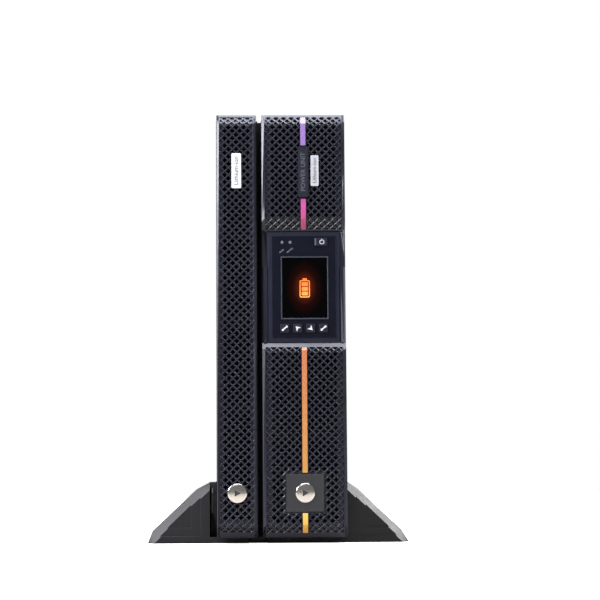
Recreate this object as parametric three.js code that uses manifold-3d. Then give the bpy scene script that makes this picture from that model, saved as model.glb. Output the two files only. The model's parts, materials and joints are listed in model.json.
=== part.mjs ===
// Rack and tower UPS with a slim battery module beside it. Both are turned on edge and stand in a
// pair of plastic tower feet. Millimetres, +Z up, the front faces -Y, and the origin is the centre
// of the footprint on the floor.
import * as THREE from "three";
import { mergeVertices } from "three/addons/utils/BufferGeometryUtils.js";
import { ConvexGeometry } from "three/addons/geometries/ConvexGeometry.js";
import Module from "manifold-3d";

// Driving dimensions.
const UNIT_HEIGHT = 430; // rack width of both units, which is their height when turned on edge
const DEPTH = 570; // badge faces to the back of the terminal cover
const PANEL_Y = 548; // outer face of the rear panels, behind the bezel front
const UPS_WIDTH = 86; // two rack units, less the sliding clearance
const BATTERY_WIDTH = 43; // one rack unit, less the sliding clearance
const UNIT_GAP = 3.7;
const GAP = 0.3; // clearance between neighbouring pieces
const SHEET = 1.2; // sheet-metal thickness
const FRONT_PROUD = 2; // how far the round badges stand in front of the bezels

const BEZEL_DEPTH = 38;
const UPS_BEZEL_HALF = UPS_WIDTH / 2 - 0.6; // half widths; each bezel is a little narrower than its case
const BATTERY_BEZEL_HALF = BATTERY_WIDTH / 2 - 1.2;
const BEZEL_WALL = 2.5;
const SIDE_BEVEL = { width: 2.6, depth: 1.6 };
const TOP_BEVEL = { height: 10, depth: 7.5 };
const BOTTOM_BEVEL = { height: 12.5, depth: 7.5 };
const SHOULDER_BEVEL = { height: 8, depth: 6 };
const LOWER_BEZEL_TOP = 195.7;
const UPPER_BEZEL_BOTTOM = 309.2;
const ARM_SEAM = 273; // where the upper and lower bezels' arms meet beside the display
const ARM_WIDTH = 5.4;
const STRIP_WIDTH = 5.2;
const HOOK = { size: 8, thick: 2.4, reach: 8 };

const DISPLAY = {
  halfWidth: 36.6,
  bottom: LOWER_BEZEL_TOP + 0.5,
  top: UPPER_BEZEL_BOTTOM - 0.5,
  front: 5.5,
};
const FASCIA = { halfWidth: 32, bottom: 201, top: 304.3, front: 4.4, thick: 0.8 };
const SCREEN = { x: 0.9, z: 251.5, width: 45.6, height: 61.4, rim: 1.3 };
const KEY = { width: 9, height: 8.8, z: 210.3, pitch: 13.1, front: 3.4 };
const POWER_KEY = { width: 13, height: 8, x: 17.6, z: 298.4 };
const LAMP = { radius: 1.5, z: 298.1, runX: -21.8, faultX: -13.5 };

const BADGE = { radius: 9.6, thick: 1.7, z: 44.4, spindle: 3, collar: 4.5 };
const BADGE_PLATE = { width: 37.5, height: 37.5 };

const STAND_DEPTH = 80;
const STAND_SETBACK = 34; // front of the front feet behind the bezel front
const FOOT_TIP = 134; // half of the stand's width
const FOOT_INNER = 70; // half of the channel that the two units stand in
const FLOOR_THICK = 6.2;
const LEFT_FLOOR_END = -30;
const RIGHT_FLOOR_END = -12;

const UNIT_Z = FLOOR_THICK + GAP;
const FRONT_Y = FRONT_PROUD - DEPTH / 2;
const UPS_X = FOOT_INNER - GAP - UPS_WIDTH / 2;
const BATTERY_X = UPS_X - UPS_WIDTH / 2 - UNIT_GAP - BATTERY_WIDTH / 2;

const material = (color, roughness, metalness = 0) =>
  new THREE.MeshStandardMaterial({ color, roughness, metalness });
const plastic = material(0x2b2c34, 0.55);
const standPlastic = material(0x3a3a3f, 0.6);
const casePaint = material(0x1c1d21, 0.5, 0.3);
const fasciaGloss = material(0x1e222d, 0.25);
const keyPlastic = material(0x2f323b, 0.5);
const screenGlass = material(0x030203, 0.1);
const brightTrim = material(0x83878d, 0.35, 0.7);
const badgeMetal = material(0xb9b4aa, 0.25, 1);
const labelFilm = material(0xe9eaeb, 0.5);
const circuitBoard = material(0x1f5a3a, 0.6);
const aluminium = material(0xa9acb0, 0.4, 1);
const copper = material(0xa8672f, 0.4, 0.9);
const capacitorSleeve = material(0x202a44, 0.4);
const cellSleeve = material(0x3b5f8c, 0.5);
const fanPlastic = material(0x17181b, 0.5);
const steelWire = material(0x9a9da2, 0.3, 1);
const socketPlastic = material(0x5d6066, 0.5);
const lampLens = material(0x9aa0a8, 0.3);

// Solids: three.js geometry in, boolean joins and cuts by manifold-3d, three.js geometry out.
const wasm = await Module();
wasm.setup();

function solidOf(geometry) {
  const bare = geometry.index ? geometry.toNonIndexed() : geometry.clone();
  bare.deleteAttribute("normal");
  bare.deleteAttribute("uv");
  const merged = mergeVertices(bare, 1e-4);
  const vertProperties = merged.attributes.position.array;
  const triVerts = new Uint32Array(merged.index.array);
  return new wasm.Manifold(new wasm.Mesh({ numProp: 3, vertProperties, triVerts }));
}

function geometryOf(solid) {
  const mesh = solid.getMesh();
  const geometry = new THREE.BufferGeometry();
  geometry.setAttribute("position", new THREE.BufferAttribute(mesh.vertProperties, 3));
  geometry.setIndex(new THREE.BufferAttribute(mesh.triVerts, 1));
  const faceted = geometry.toNonIndexed();
  faceted.computeVertexNormals();
  return faceted;
}

const join = (...solids) => solids.reduce((whole, piece) => whole.add(piece));
const cut = (base, ...tools) => tools.reduce((left, tool) => left.subtract(tool), base);

function block(x0, x1, y0, y1, z0, z1) {
  const box = new THREE.BoxGeometry(x1 - x0, y1 - y0, z1 - z0);
  return solidOf(box.translate((x0 + x1) / 2, (y0 + y1) / 2, (z0 + z1) / 2));
}

// A centred block: width along X and height along Z about (x, z), from y0 back to y1.
const pad = (x, z, width, height, y0, y1) =>
  block(x - width / 2, x + width / 2, y0, y1, z - height / 2, z + height / 2);

const AXES = {
  x: [new THREE.Vector3(0, 1, 0), new THREE.Vector3(0, 0, 1), new THREE.Vector3(1, 0, 0)],
  y: [new THREE.Vector3(0, 0, 1), new THREE.Vector3(1, 0, 0), new THREE.Vector3(0, 1, 0)],
  z: [new THREE.Vector3(1, 0, 0), new THREE.Vector3(0, 1, 0), new THREE.Vector3(0, 0, 1)],
};

// An outline extruded along an axis. Its points are (y, z) for x, (z, x) for y and (x, y) for z.
function prism(axis, outline, from, to) {
  const shape = outline instanceof THREE.Shape ? outline : new THREE.Shape(outline);
  const options = { depth: to - from, bevelEnabled: false, curveSegments: 4 };
  const geometry = new THREE.ExtrudeGeometry(shape, options);
  geometry.translate(0, 0, from);
  return solidOf(geometry.applyMatrix4(new THREE.Matrix4().makeBasis(...AXES[axis])));
}

const points = (...pairs) => pairs.map(([a, b]) => new THREE.Vector2(a, b));

// The same, with an outline of (x, z) pairs extruded along Y.
const slab = (pairs, from, to) => prism("y", points(...pairs.map(([x, z]) => [z, x])), from, to);

function rod(radius, x, z, y0, y1, segments = 28) {
  const cylinder = new THREE.CylinderGeometry(radius, radius, y1 - y0, segments);
  return solidOf(cylinder.translate(x, (y0 + y1) / 2, z));
}

function crossRod(radius, y, z, x0, x1, segments = 20) {
  const cylinder = new THREE.CylinderGeometry(radius, radius, x1 - x0, segments);
  cylinder.rotateZ(Math.PI / 2);
  return solidOf(cylinder.translate((x0 + x1) / 2, y, z));
}

// A thin plate with round corners, width along X and height along Z.
function roundPlate(x, z, width, height, corner, y0, y1) {
  const shape = new THREE.Shape();
  const [left, right, low, high] = [x - width / 2, x + width / 2, z - height / 2, z + height / 2];
  shape.absarc(high - corner, right - corner, corner, 0, Math.PI / 2);
  shape.absarc(low + corner, right - corner, corner, Math.PI / 2, Math.PI);
  shape.absarc(low + corner, left + corner, corner, Math.PI, Math.PI * 1.5);
  shape.absarc(high - corner, left + corner, corner, Math.PI * 1.5, Math.PI * 2);
  return prism("y", shape, y0, y1);
}

function piece(parent, name, solid, look) {
  const mesh = new THREE.Mesh(geometryOf(solid), look);
  mesh.name = name;
  parent.add(mesh);
  return mesh;
}

// Each unit is modelled in its own frame: x across it, y back from the bezel front, z up from its
// lowest edge.
function unitGroup(x) {
  const group = new THREE.Group();
  group.position.set(x, FRONT_Y, UNIT_Z);
  return group;
}

// Bezels -------------------------------------------------------------------------------------

// y of a bezel's front surface at height z.
function frontSurface(bezel, z) {
  const up = (z - (bezel.top - bezel.topBevel.height)) / bezel.topBevel.height;
  const down = (bezel.bottom + bezel.bottomBevel.height - z) / bezel.bottomBevel.height;
  return Math.max(0, up * bezel.topBevel.depth, down * bezel.bottomBevel.depth);
}

function bezelBlock(bezel, inset, back) {
  const half = bezel.halfWidth - inset;
  const [low, high] = [bezel.bottom + inset, bezel.top - inset];
  const profile = points(
    [back, low],
    [back, high],
    [bezel.topBevel.depth + inset, high],
    [inset, high - bezel.topBevel.height],
    [inset, low + bezel.bottomBevel.height],
    [bezel.bottomBevel.depth + inset, low],
  );
  const plan = points(
    [-half, back],
    [-half, SIDE_BEVEL.depth + inset],
    [-half + SIDE_BEVEL.width, inset],
    [half - SIDE_BEVEL.width, inset],
    [half, SIDE_BEVEL.depth + inset],
    [half, back],
  );
  return prism("x", profile, -half, half).intersect(prism("z", plan, low, high));
}

// A snap hook that reaches back through the case front.
const hook = (x, z, grow = 0) =>
  pad(x, z, HOOK.thick + grow, HOOK.size + grow, BEZEL_DEPTH - 12, BEZEL_DEPTH + HOOK.reach + grow);

function hooksOf(bezel) {
  const x = bezel.halfWidth - BEZEL_WALL + HOOK.thick / 2 - 1.5;
  const inset = 26;
  return [-x, x].flatMap((side) => [bezel.bottom + inset, bezel.top - inset].map((z) => [side, z]));
}

function bezelShell(bezel) {
  const shell = cut(bezelBlock(bezel, 0, BEZEL_DEPTH), bezelBlock(bezel, BEZEL_WALL, BEZEL_DEPTH + 1));
  return join(shell, ...hooksOf(bezel).map(([x, z]) => hook(x, z)));
}

// A band that follows the bezel's front surface, between two depths below it.
function surfaceBand(bezel, width, z0, z1, over, under) {
  const { bottom, top, topBevel, bottomBevel } = bezel;
  const bends = [bottom + bottomBevel.height, top - topBevel.height].filter((z) => z > z0 && z < z1);
  const heights = [z0, ...bends, z1];
  const outer = heights.map((z) => [frontSurface(bezel, z) + over, z]);
  const inner = heights.map((z) => [frontSurface(bezel, z) + under, z]).reverse();
  return prism("x", points(...outer, ...inner), -width / 2, width / 2);
}

const STRIP = { over: 0.1, under: 1.3 };
const strip = (bezel, z0, z1) => surfaceBand(bezel, STRIP_WIDTH, z0, z1, STRIP.over, STRIP.under);
const stripGroove = (bezel, z0, z1) =>
  surfaceBand(bezel, STRIP_WIDTH + 2 * GAP, z0 - GAP, z1 + GAP, -1, STRIP.under + GAP);

// An arm beside the display: an L of front strip and side wall.
function arm(side, front, z0, z1, bevel) {
  const outer = UPS_BEZEL_HALF;
  const inner = outer - ARM_WIDTH;
  const section = [
    [inner, front],
    [outer - bevel, front],
    [outer, front + bevel],
    [outer, BEZEL_DEPTH],
    [outer - 2, BEZEL_DEPTH],
    [outer - 2, front + bevel + 2],
    [inner, front + 2],
  ];
  return prism("z", points(...section.map(([x, y]) => [x * side, y])), z0, z1);
}

const upperBezel = {
  halfWidth: UPS_BEZEL_HALF,
  bottom: UPPER_BEZEL_BOTTOM,
  top: UNIT_HEIGHT,
  bottomBevel: BOTTOM_BEVEL,
  topBevel: TOP_BEVEL,
};
const lowerBezel = {
  halfWidth: UPS_BEZEL_HALF,
  bottom: 0,
  top: LOWER_BEZEL_TOP,
  bottomBevel: BOTTOM_BEVEL,
  topBevel: SHOULDER_BEVEL,
};
const batteryBezel = {
  halfWidth: BATTERY_BEZEL_HALF,
  bottom: 0,
  top: UNIT_HEIGHT,
  bottomBevel: BOTTOM_BEVEL,
  topBevel: TOP_BEVEL,
};

// Accent strips, from top to bottom.
const accents = {
  accent_strip_violet: { bezel: upperBezel, low: 397.2, high: 427.5, color: 0xb08dda },
  accent_strip_magenta: { bezel: upperBezel, low: 310.4, high: 342.3, color: 0xd964a9 },
  accent_strip_orange: { bezel: lowerBezel, low: 64.6, high: 190.8, color: 0xf09a60 },
  accent_strip_amber: { bezel: lowerBezel, low: 4.4, high: 24.2, color: 0xf2cd76 },
};
const NAME_PLATE = { z: 369.8, width: 10.6, height: 52 };
const UPS_LABEL = { x: 11.6, z: 371.1, width: 8.1, height: 31.6 };
const BATTERY_LABEL = { x: 0, z: 371.3, width: 9.8, height: 36 };

function badge() {
  const face = -FRONT_PROUD;
  const back = face + BADGE.thick;
  const rim = new THREE.LatheGeometry(
    points(
      [0, face + 0.25],
      [BADGE.radius - 2.2, face],
      [BADGE.radius - 0.5, face + 0.15],
      [BADGE.radius, face + 0.6],
      [BADGE.radius, back],
      [BADGE.spindle, back],
      [BADGE.spindle, 4.6],
      [BADGE.collar, 4.8],
      [BADGE.collar - 0.6, 6.4],
      [0, 6.4],
    ),
    32,
  );
  return solidOf(rim.translate(0, 0, BADGE.z));
}

// UPS front ------------------------------------------------------------------------------------

function addUpsFront(group) {
  const grooves = (bezel) =>
    Object.values(accents)
      .filter((accent) => accent.bezel === bezel)
      .map(({ low, high }) => stripGroove(bezel, low, high));
  const inBlock = 2; // how far an arm runs on inside its bezel's block
  const upper = join(
    bezelShell(upperBezel),
    ...[-1, 1].map((side) => arm(side, 6.5, ARM_SEAM + GAP / 2, UPPER_BEZEL_BOTTOM + inBlock, 0.3)),
  );
  const lower = join(
    bezelShell(lowerBezel),
    ...[-1, 1].map((side) => arm(side, 5, LOWER_BEZEL_TOP - inBlock, ARM_SEAM - GAP / 2, 2)),
  );
  const plateHole = pad(0, BADGE.z, BADGE_PLATE.width + 0.6, BADGE_PLATE.height + 0.6, -1, BEZEL_WALL + 1);
  piece(group, "upper_bezel", cut(upper, ...grooves(upperBezel)), plastic);
  piece(group, "lower_bezel", cut(lower, plateHole, ...grooves(lowerBezel)), plastic);
  for (const [name, { bezel, low, high, color }] of Object.entries(accents)) {
    piece(group, name, strip(bezel, low, high), material(color, 0.4));
  }
  const { z, width, height } = NAME_PLATE;
  piece(group, "name_plate", roundPlate(0, z, width, height, 1, -1.2, -GAP), plastic);
  const label = roundPlate(UPS_LABEL.x, UPS_LABEL.z, UPS_LABEL.width, UPS_LABEL.height, 1.2, -0.8, -GAP);
  piece(group, "ups_label", label, labelFilm);

  const plateBack = BEZEL_WALL + GAP;
  const plate = cut(
    join(
      pad(0, BADGE.z, BADGE_PLATE.width, BADGE_PLATE.height, 0, plateBack + 0.2),
      pad(0, BADGE.z, BADGE_PLATE.width + 5, BADGE_PLATE.height + 5, plateBack, 4),
    ),
    rod(BADGE.spindle + 0.5, 0, BADGE.z, -1, 5),
  );
  piece(group, "badge_plate", plate, plastic);
  piece(group, "ups_badge", badge(), badgeMetal);
}

// Display module -------------------------------------------------------------------------------

const KEYS = {
  escape_key: { x: -1.5 * KEY.pitch, z: KEY.z, width: KEY.width, height: KEY.height },
  up_key: { x: -0.5 * KEY.pitch, z: KEY.z, width: KEY.width, height: KEY.height },
  down_key: { x: 0.5 * KEY.pitch, z: KEY.z, width: KEY.width, height: KEY.height },
  enter_key: { x: 1.5 * KEY.pitch, z: KEY.z, width: KEY.width, height: KEY.height },
  power_button: POWER_KEY,
};

function addDisplay(group) {
  const { halfWidth, bottom, top, front } = DISPLAY;
  const back = BEZEL_DEPTH - GAP / 2;
  const wall = 2.5;
  const rim = { width: SCREEN.width + 2 * SCREEN.rim, height: SCREEN.height + 2 * SCREEN.rim };
  const openings = (y0, y1) => [
    pad(SCREEN.x, SCREEN.z, rim.width + 0.6, rim.height + 0.6, y0, y1),
    ...Object.values(KEYS).map((k) => pad(k.x, k.z, k.width + 0.5, k.height + 0.5, y0, y1)),
    ...[LAMP.runX, LAMP.faultX].map((x) => rod(LAMP.radius + GAP, x, LAMP.z, y0, y1, 16)),
  ];
  const bevel = 0.5;
  const plan = points(
    [-halfWidth, back],
    [-halfWidth, front + bevel],
    [-halfWidth + bevel, front],
    [halfWidth - bevel, front],
    [halfWidth, front + bevel],
    [halfWidth, back],
  );
  const housing = cut(
    prism("z", plan, bottom, top),
    block(-halfWidth + wall, halfWidth - wall, front + wall, back + 1, bottom + wall, top - wall),
    ...openings(front - 1, front + wall + 1),
  );
  piece(group, "display_housing", housing, plastic);

  const { halfWidth: half, bottom: low, top: high, front: face, thick } = FASCIA;
  const fascia = cut(block(-half, half, face, face + thick, low, high), ...openings(face - 1, front));
  piece(group, "display_fascia", fascia, fasciaGloss);

  const frame = cut(
    pad(SCREEN.x, SCREEN.z, rim.width, rim.height, 3.9, 6.5),
    pad(SCREEN.x, SCREEN.z, SCREEN.width + 0.4, SCREEN.height + 0.4, 3, 7),
  );
  piece(group, "screen_frame", frame, brightTrim);
  const glass = pad(SCREEN.x, SCREEN.z, SCREEN.width - 0.2, SCREEN.height - 0.2, 4.3, 8);
  piece(group, "lcd_screen", glass, screenGlass);

  for (const [name, k] of Object.entries(KEYS)) {
    const flangeY = front + wall + GAP;
    const cap = pad(k.x, k.z, k.width, k.height, KEY.front, flangeY + 0.2);
    const flange = pad(k.x, k.z, k.width + 2.6, k.height + 2.6, flangeY, flangeY + 1.2);
    piece(group, name, join(cap, flange), keyPlastic);
  }
  piece(group, "run_lamp", rod(LAMP.radius, LAMP.runX, LAMP.z, 4.1, 11, 16), lampLens);
  piece(group, "fault_lamp", rod(LAMP.radius, LAMP.faultX, LAMP.z, 4.1, 11, 16), lampLens);
  const board = join(
    block(-33, 33, 13, 14.6, 201, 304),
    pad(0, 222, 40, 14, 14.6 - 0.1, 22),
    pad(18, 267, 12, 12, 14.6 - 0.1, 17),
  );
  piece(group, "display_board", board, circuitBoard);
}

// Sheet-metal cases ----------------------------------------------------------------------------

const CASE_FRONT = BEZEL_DEPTH + GAP;

const INSIDE_SHEET = SHEET + GAP; // from the outside of the case to the edge of a panel set in it

// The tray: one broad wall and the front wall, with slots for the bezel's hooks.
function tray(halfWidth, bezels) {
  const body = join(
    block(-halfWidth, -halfWidth + SHEET, CASE_FRONT, PANEL_Y, 0, UNIT_HEIGHT),
    block(
      -halfWidth + 0.1, halfWidth - INSIDE_SHEET,
      CASE_FRONT, CASE_FRONT + SHEET,
      INSIDE_SHEET, UNIT_HEIGHT - INSIDE_SHEET,
    ),
  );
  const slots = bezels.flatMap(hooksOf).map(([x, z]) => hook(x, z, 1.2));
  return cut(body, ...slots);
}

// The rear wall, set inside the tray and the cover. Openings run between these two depths.
const REAR_CUT = [PANEL_Y - 5, PANEL_Y + 5];
function rearPanel(halfWidth, holes) {
  const half = halfWidth - INSIDE_SHEET;
  const wall = block(-half, half, PANEL_Y - SHEET, PANEL_Y, INSIDE_SHEET, UNIT_HEIGHT - INSIDE_SHEET);
  return cut(wall, ...holes);
}

function cover(halfWidth) {
  const left = -halfWidth + INSIDE_SHEET;
  return join(
    block(halfWidth - SHEET, halfWidth, CASE_FRONT, PANEL_Y, 0, UNIT_HEIGHT),
    block(left, halfWidth - 0.1, CASE_FRONT, PANEL_Y, 0, SHEET),
    block(left, halfWidth - 0.1, CASE_FRONT, PANEL_Y, UNIT_HEIGHT - SHEET, UNIT_HEIGHT),
  );
}

// A column of ventilation openings through a wall between y0 and y1.
function ventSlots(halfWidth, z0, z1, pitch, slotHeight, y0, y1) {
  const count = Math.floor((z1 - z0) / pitch);
  return Array.from({ length: count }, (_, i) =>
    pad(0, z0 + (i + 0.5) * pitch, 2 * halfWidth, slotHeight, y0, y1));
}

// UPS rear -------------------------------------------------------------------------------------

const FAN = { size: 80, depth: 25, duct: 38, hub: 17, centres: { lower: 300, upper: 384 } };
const CARD = { x: -24, z: 222, width: 28, height: 68, board: 108 };
const PORTS = { x: 17, z: 222, width: 36, height: 68 };
const BATTERY_PLUG = { z: 174, width: 44, height: 18, cell: 15, cellHeight: 12 };
const BREAKER = { z: 139, height: 40, upsWidth: 35, batteryWidth: 27 };
const TERMINAL = { halfWidth: 37, bottom: 10, top: 112, entries: [34, 86], entryRadius: 12 };

// Port cavities: [x, z, width, height].
const PORT_CAVITIES = [
  [17, 245, 15, 13],
  [17, 228, 15, 13],
  [17, 211, 13, 12],
  [17, 196, 18, 9],
];

function fanFrame(z) {
  const back = PANEL_Y - SHEET - GAP;
  const front = back - FAN.depth;
  const duct = rod(FAN.duct, 0, z, front - 1, back + 1, 32);
  const mount = join(
    rod(FAN.hub, 0, z, front, front + 3, 24),
    pad(0, z, 2 * FAN.duct + 1, 3.5, front, front + 3),
    pad(0, z, 3.5, 2 * FAN.duct + 1, front, front + 3),
  );
  return join(cut(pad(0, z, FAN.size, FAN.size, front, back), duct), mount);
}

function fanRotor(z) {
  const back = PANEL_Y - SHEET - GAP;
  const [y0, y1] = [back - FAN.depth + 4, back - 3];
  const bladeCount = 7;
  const pitchAngle = THREE.MathUtils.degToRad(35);
  const blades = Array.from({ length: bladeCount }, (_, i) => {
    const blade = new THREE.BoxGeometry(21.5, 21, 1.6);
    blade.rotateX(pitchAngle);
    blade.translate(FAN.hub - 3 + 10.75, 0, 0);
    blade.rotateY((i / bladeCount) * Math.PI * 2);
    return solidOf(blade.translate(0, (y0 + y1) / 2, z));
  });
  return join(rod(FAN.hub, 0, z, y0, y1, 28), ...blades);
}

function fanGuard(z) {
  const [y0, y1] = [PANEL_Y + GAP, PANEL_Y + GAP + 1.6];
  const ring = (radius) => cut(rod(radius, 0, z, y0, y1, 24), rod(radius - 1.7, 0, z, y0 - 1, y1 + 1, 24));
  const spoke = (angle) => {
    const bar = new THREE.BoxGeometry(101, y1 - y0 - 0.4, 2.4);
    bar.rotateY(angle);
    return solidOf(bar.translate(0, (y0 + y1) / 2, z));
  };
  return join(...[13, 25, 37].map(ring), spoke(Math.PI / 4), spoke(-Math.PI / 4));
}

// A breaker: its body through the panel, and a slot in its nose for the toggle.
const TOGGLE = { y: PANEL_Y - 3, radius: 5, lean: THREE.MathUtils.degToRad(35), tip: 17, thick: 5 };

function breaker(z, width) {
  const nose = PANEL_Y + 5;
  const body = pad(0, z, width, BREAKER.height, PANEL_Y - 50, nose);
  return cut(body, pad(0, z, width * 0.68, 22, TOGGLE.y - TOGGLE.radius - 0.8, nose + 1));
}

function toggle(z, width) {
  const half = width * 0.32;
  const lever = new THREE.BoxGeometry(2 * half, TOGGLE.tip, TOGGLE.thick);
  lever.translate(0, TOGGLE.tip / 2, 0);
  lever.rotateX(TOGGLE.lean);
  lever.translate(0, TOGGLE.y, z);
  return join(crossRod(TOGGLE.radius, TOGGLE.y, z, -half, half, 16), solidOf(lever));
}

// A two-pole battery connector: a block with two deep cells.
function batteryConnector(z, width) {
  const [y0, y1] = [PANEL_Y - 12, PANEL_Y + 16];
  const cellX = width / 4 - 0.5;
  const cell = (x) => pad(x, z, BATTERY_PLUG.cell, BATTERY_PLUG.cellHeight, PANEL_Y - 6, y1 + 1);
  return cut(pad(0, z, width, BATTERY_PLUG.height, y0, y1), cell(-cellX), cell(cellX));
}

function addUpsRear(group) {
  const hole = (x, z, width, height) => pad(x, z, width + 2 * GAP, height + 2 * GAP, ...REAR_CUT);
  const holes = [
    ...Object.values(FAN.centres).map((z) => rod(FAN.duct, 0, z, ...REAR_CUT, 32)),
    hole(CARD.x, CARD.z, 15.4, CARD.height - 6.6),
    hole(PORTS.x, PORTS.z, PORTS.width, PORTS.height),
    hole(0, BATTERY_PLUG.z, BATTERY_PLUG.width, BATTERY_PLUG.height),
    hole(0, BREAKER.z, BREAKER.upsWidth, BREAKER.height),
    hole(0, 60, 55.4, 79.4),
  ];
  piece(group, "ups_rear_panel", rearPanel(UPS_WIDTH / 2, holes), casePaint);

  for (const [place, z] of Object.entries(FAN.centres)) {
    piece(group, `${place}_fan_frame`, fanFrame(z), fanPlastic);
    piece(group, `${place}_fan_rotor`, fanRotor(z), fanPlastic);
    piece(group, `${place}_fan_guard`, fanGuard(z), steelWire);
  }

  const cardBack = PANEL_Y + GAP;
  const card = join(
    pad(CARD.x, CARD.z, CARD.width, CARD.height, cardBack, cardBack + 1.5),
    pad(CARD.x, CARD.z, 1.6, CARD.height - 8, PANEL_Y - CARD.board, cardBack + 0.1),
    pad(CARD.x + 2.8, CARD.z + 12, 4.1, 22, PANEL_Y - 70, PANEL_Y - 40),
    pad(CARD.x + 2.3, CARD.z - 16, 3.1, 14, PANEL_Y - 90, PANEL_Y - 76),
    ...[-1, 1].map((s) => rod(3.4, CARD.x, CARD.z + s * 29, cardBack + 1.4, cardBack + 7, 18)),
  );
  piece(group, "network_card", card, brightTrim);

  const ports = cut(
    pad(PORTS.x, PORTS.z, PORTS.width, PORTS.height, PANEL_Y - 14, PANEL_Y + 1.5),
    ...PORT_CAVITIES.map(([x, z, width, height]) => pad(x, z, width, height, PANEL_Y - 11, PANEL_Y + 3)),
  );
  piece(group, "port_block", ports, socketPlastic);
  piece(group, "battery_inlet", batteryConnector(BATTERY_PLUG.z, BATTERY_PLUG.width), socketPlastic);
  piece(group, "input_breaker", breaker(BREAKER.z, BREAKER.upsWidth), socketPlastic);
  piece(group, "input_breaker_toggle", toggle(BREAKER.z, BREAKER.upsWidth), fanPlastic);

  const back = DEPTH - FRONT_PROUD;
  const { halfWidth, bottom, top } = TERMINAL;
  const box = cut(
    block(-halfWidth, halfWidth, PANEL_Y + GAP, back, bottom, top),
    block(-halfWidth + SHEET, halfWidth - SHEET, PANEL_Y - 1, back - SHEET, bottom + SHEET, top - SHEET),
    ...TERMINAL.entries.map((z) => rod(TERMINAL.entryRadius, 0, z, back - 5, back + 1, 24)),
  );
  piece(group, "terminal_cover", box, casePaint);
  const gaps = [35, 48, 61, 74, 87].map((z) => block(-27, 27, PANEL_Y + 1, PANEL_Y + 9, z, z + 2));
  const terminals = cut(block(-26, 26, PANEL_Y - 30, PANEL_Y + 6, 24, 96), ...gaps);
  piece(group, "terminal_block", terminals, socketPlastic);
}

// UPS inside -----------------------------------------------------------------------------------

function addUpsInside(group) {
  const spacers = [80, 280, 480].flatMap((y) =>
    [40, 215, 390].map((z) => crossRod(3, y, z, -UPS_WIDTH / 2 + SHEET + GAP, -36, 8)));
  piece(group, "power_board", join(block(-37, -35.4, 60, 500, 18, 412), ...spacers), circuitBoard);
  const fins = Array.from({ length: 12 }, (_, i) => block(-31, 8, 230, 400, 122 + i * 14, 124.5 + i * 14));
  piece(group, "heatsink", join(block(-35, -31 + 0.1, 228, 402, 118, 282), ...fins), aluminium);
  const choke = (y, z) => {
    const ring = new THREE.TorusGeometry(24, 11, 12, 24);
    ring.rotateY(Math.PI / 2);
    return solidOf(ring.translate(-24, y, z));
  };
  piece(group, "boost_choke", choke(130, 90), copper);
  piece(group, "inverter_choke", choke(130, 180), copper);
  piece(group, "bus_capacitor", crossRod(25, 150, 320, -35, 30, 24), capacitorSleeve);
}

// Battery module -------------------------------------------------------------------------------

const BATTERY_SOCKET = { z: 70, width: 36 };
const BATTERY_BREAKER_Z = 120;

function addBattery(group) {
  const half = BATTERY_WIDTH / 2;
  const spindleHole = rod(BADGE.spindle + 0.5, 0, BADGE.z, -1, 5, 20);
  piece(group, "battery_bezel", cut(bezelShell(batteryBezel), spindleHole), plastic);
  const { x, z, width, height } = BATTERY_LABEL;
  piece(group, "battery_label", roundPlate(x, z, width, height, 1.2, -0.8, -GAP), labelFilm);
  piece(group, "battery_badge", badge(), badgeMetal);

  const intake = ventSlots(13, 40, 400, 90, 80, CASE_FRONT - 1, CASE_FRONT + 3);
  piece(group, "battery_chassis", cut(tray(half, [batteryBezel]), ...intake), casePaint);
  piece(group, "battery_cover", cover(half), casePaint);
  const holes = [
    pad(0, BATTERY_SOCKET.z, BATTERY_SOCKET.width + 2 * GAP, BATTERY_PLUG.height + 2 * GAP, ...REAR_CUT),
    pad(0, BATTERY_BREAKER_Z, BREAKER.batteryWidth + 2 * GAP, BREAKER.height + 2 * GAP, ...REAR_CUT),
    ...ventSlots(13, 180, 402, 74, 66, ...REAR_CUT),
  ];
  piece(group, "battery_rear_panel", rearPanel(half, holes), casePaint);

  for (const [name, z0] of Object.entries({ lower_cell_block: 15, upper_cell_block: 217 })) {
    piece(group, name, block(-17, 17, 60, 480, z0, z0 + 197), cellSleeve);
  }
  piece(group, "battery_outlet", batteryConnector(BATTERY_SOCKET.z, BATTERY_SOCKET.width), socketPlastic);
  piece(group, "battery_breaker", breaker(BATTERY_BREAKER_Z, BREAKER.batteryWidth), socketPlastic);
  piece(group, "battery_breaker_toggle", toggle(BATTERY_BREAKER_Z, BREAKER.batteryWidth), fanPlastic);
}

// Tower feet -----------------------------------------------------------------------------------

const FACE_SLOPE = 0.947; // rise over run of a foot's front edge
const FACE_TIP = 127;
const SLOPE_SHIFT = -1.5; // the ridges of both feet lie this far from mirror symmetry
const faceHeight = (x) => (FACE_TIP - x) * FACE_SLOPE;

// Tongues of the spacer slide into pockets in the two floor pieces. Centre y of each, and half width.
const TONGUES = [22, 58];
const TONGUE_HALF = 5;
const tongue = (x0, x1, y) => block(x0, x1, y - TONGUE_HALF, y + TONGUE_HALF, 0, FLOOR_THICK);
const tonguePocket = (x0, x1, y) =>
  block(x0, x1, y - TONGUE_HALF - GAP, y + TONGUE_HALF + GAP, -1, FLOOR_THICK + 1);

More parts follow.
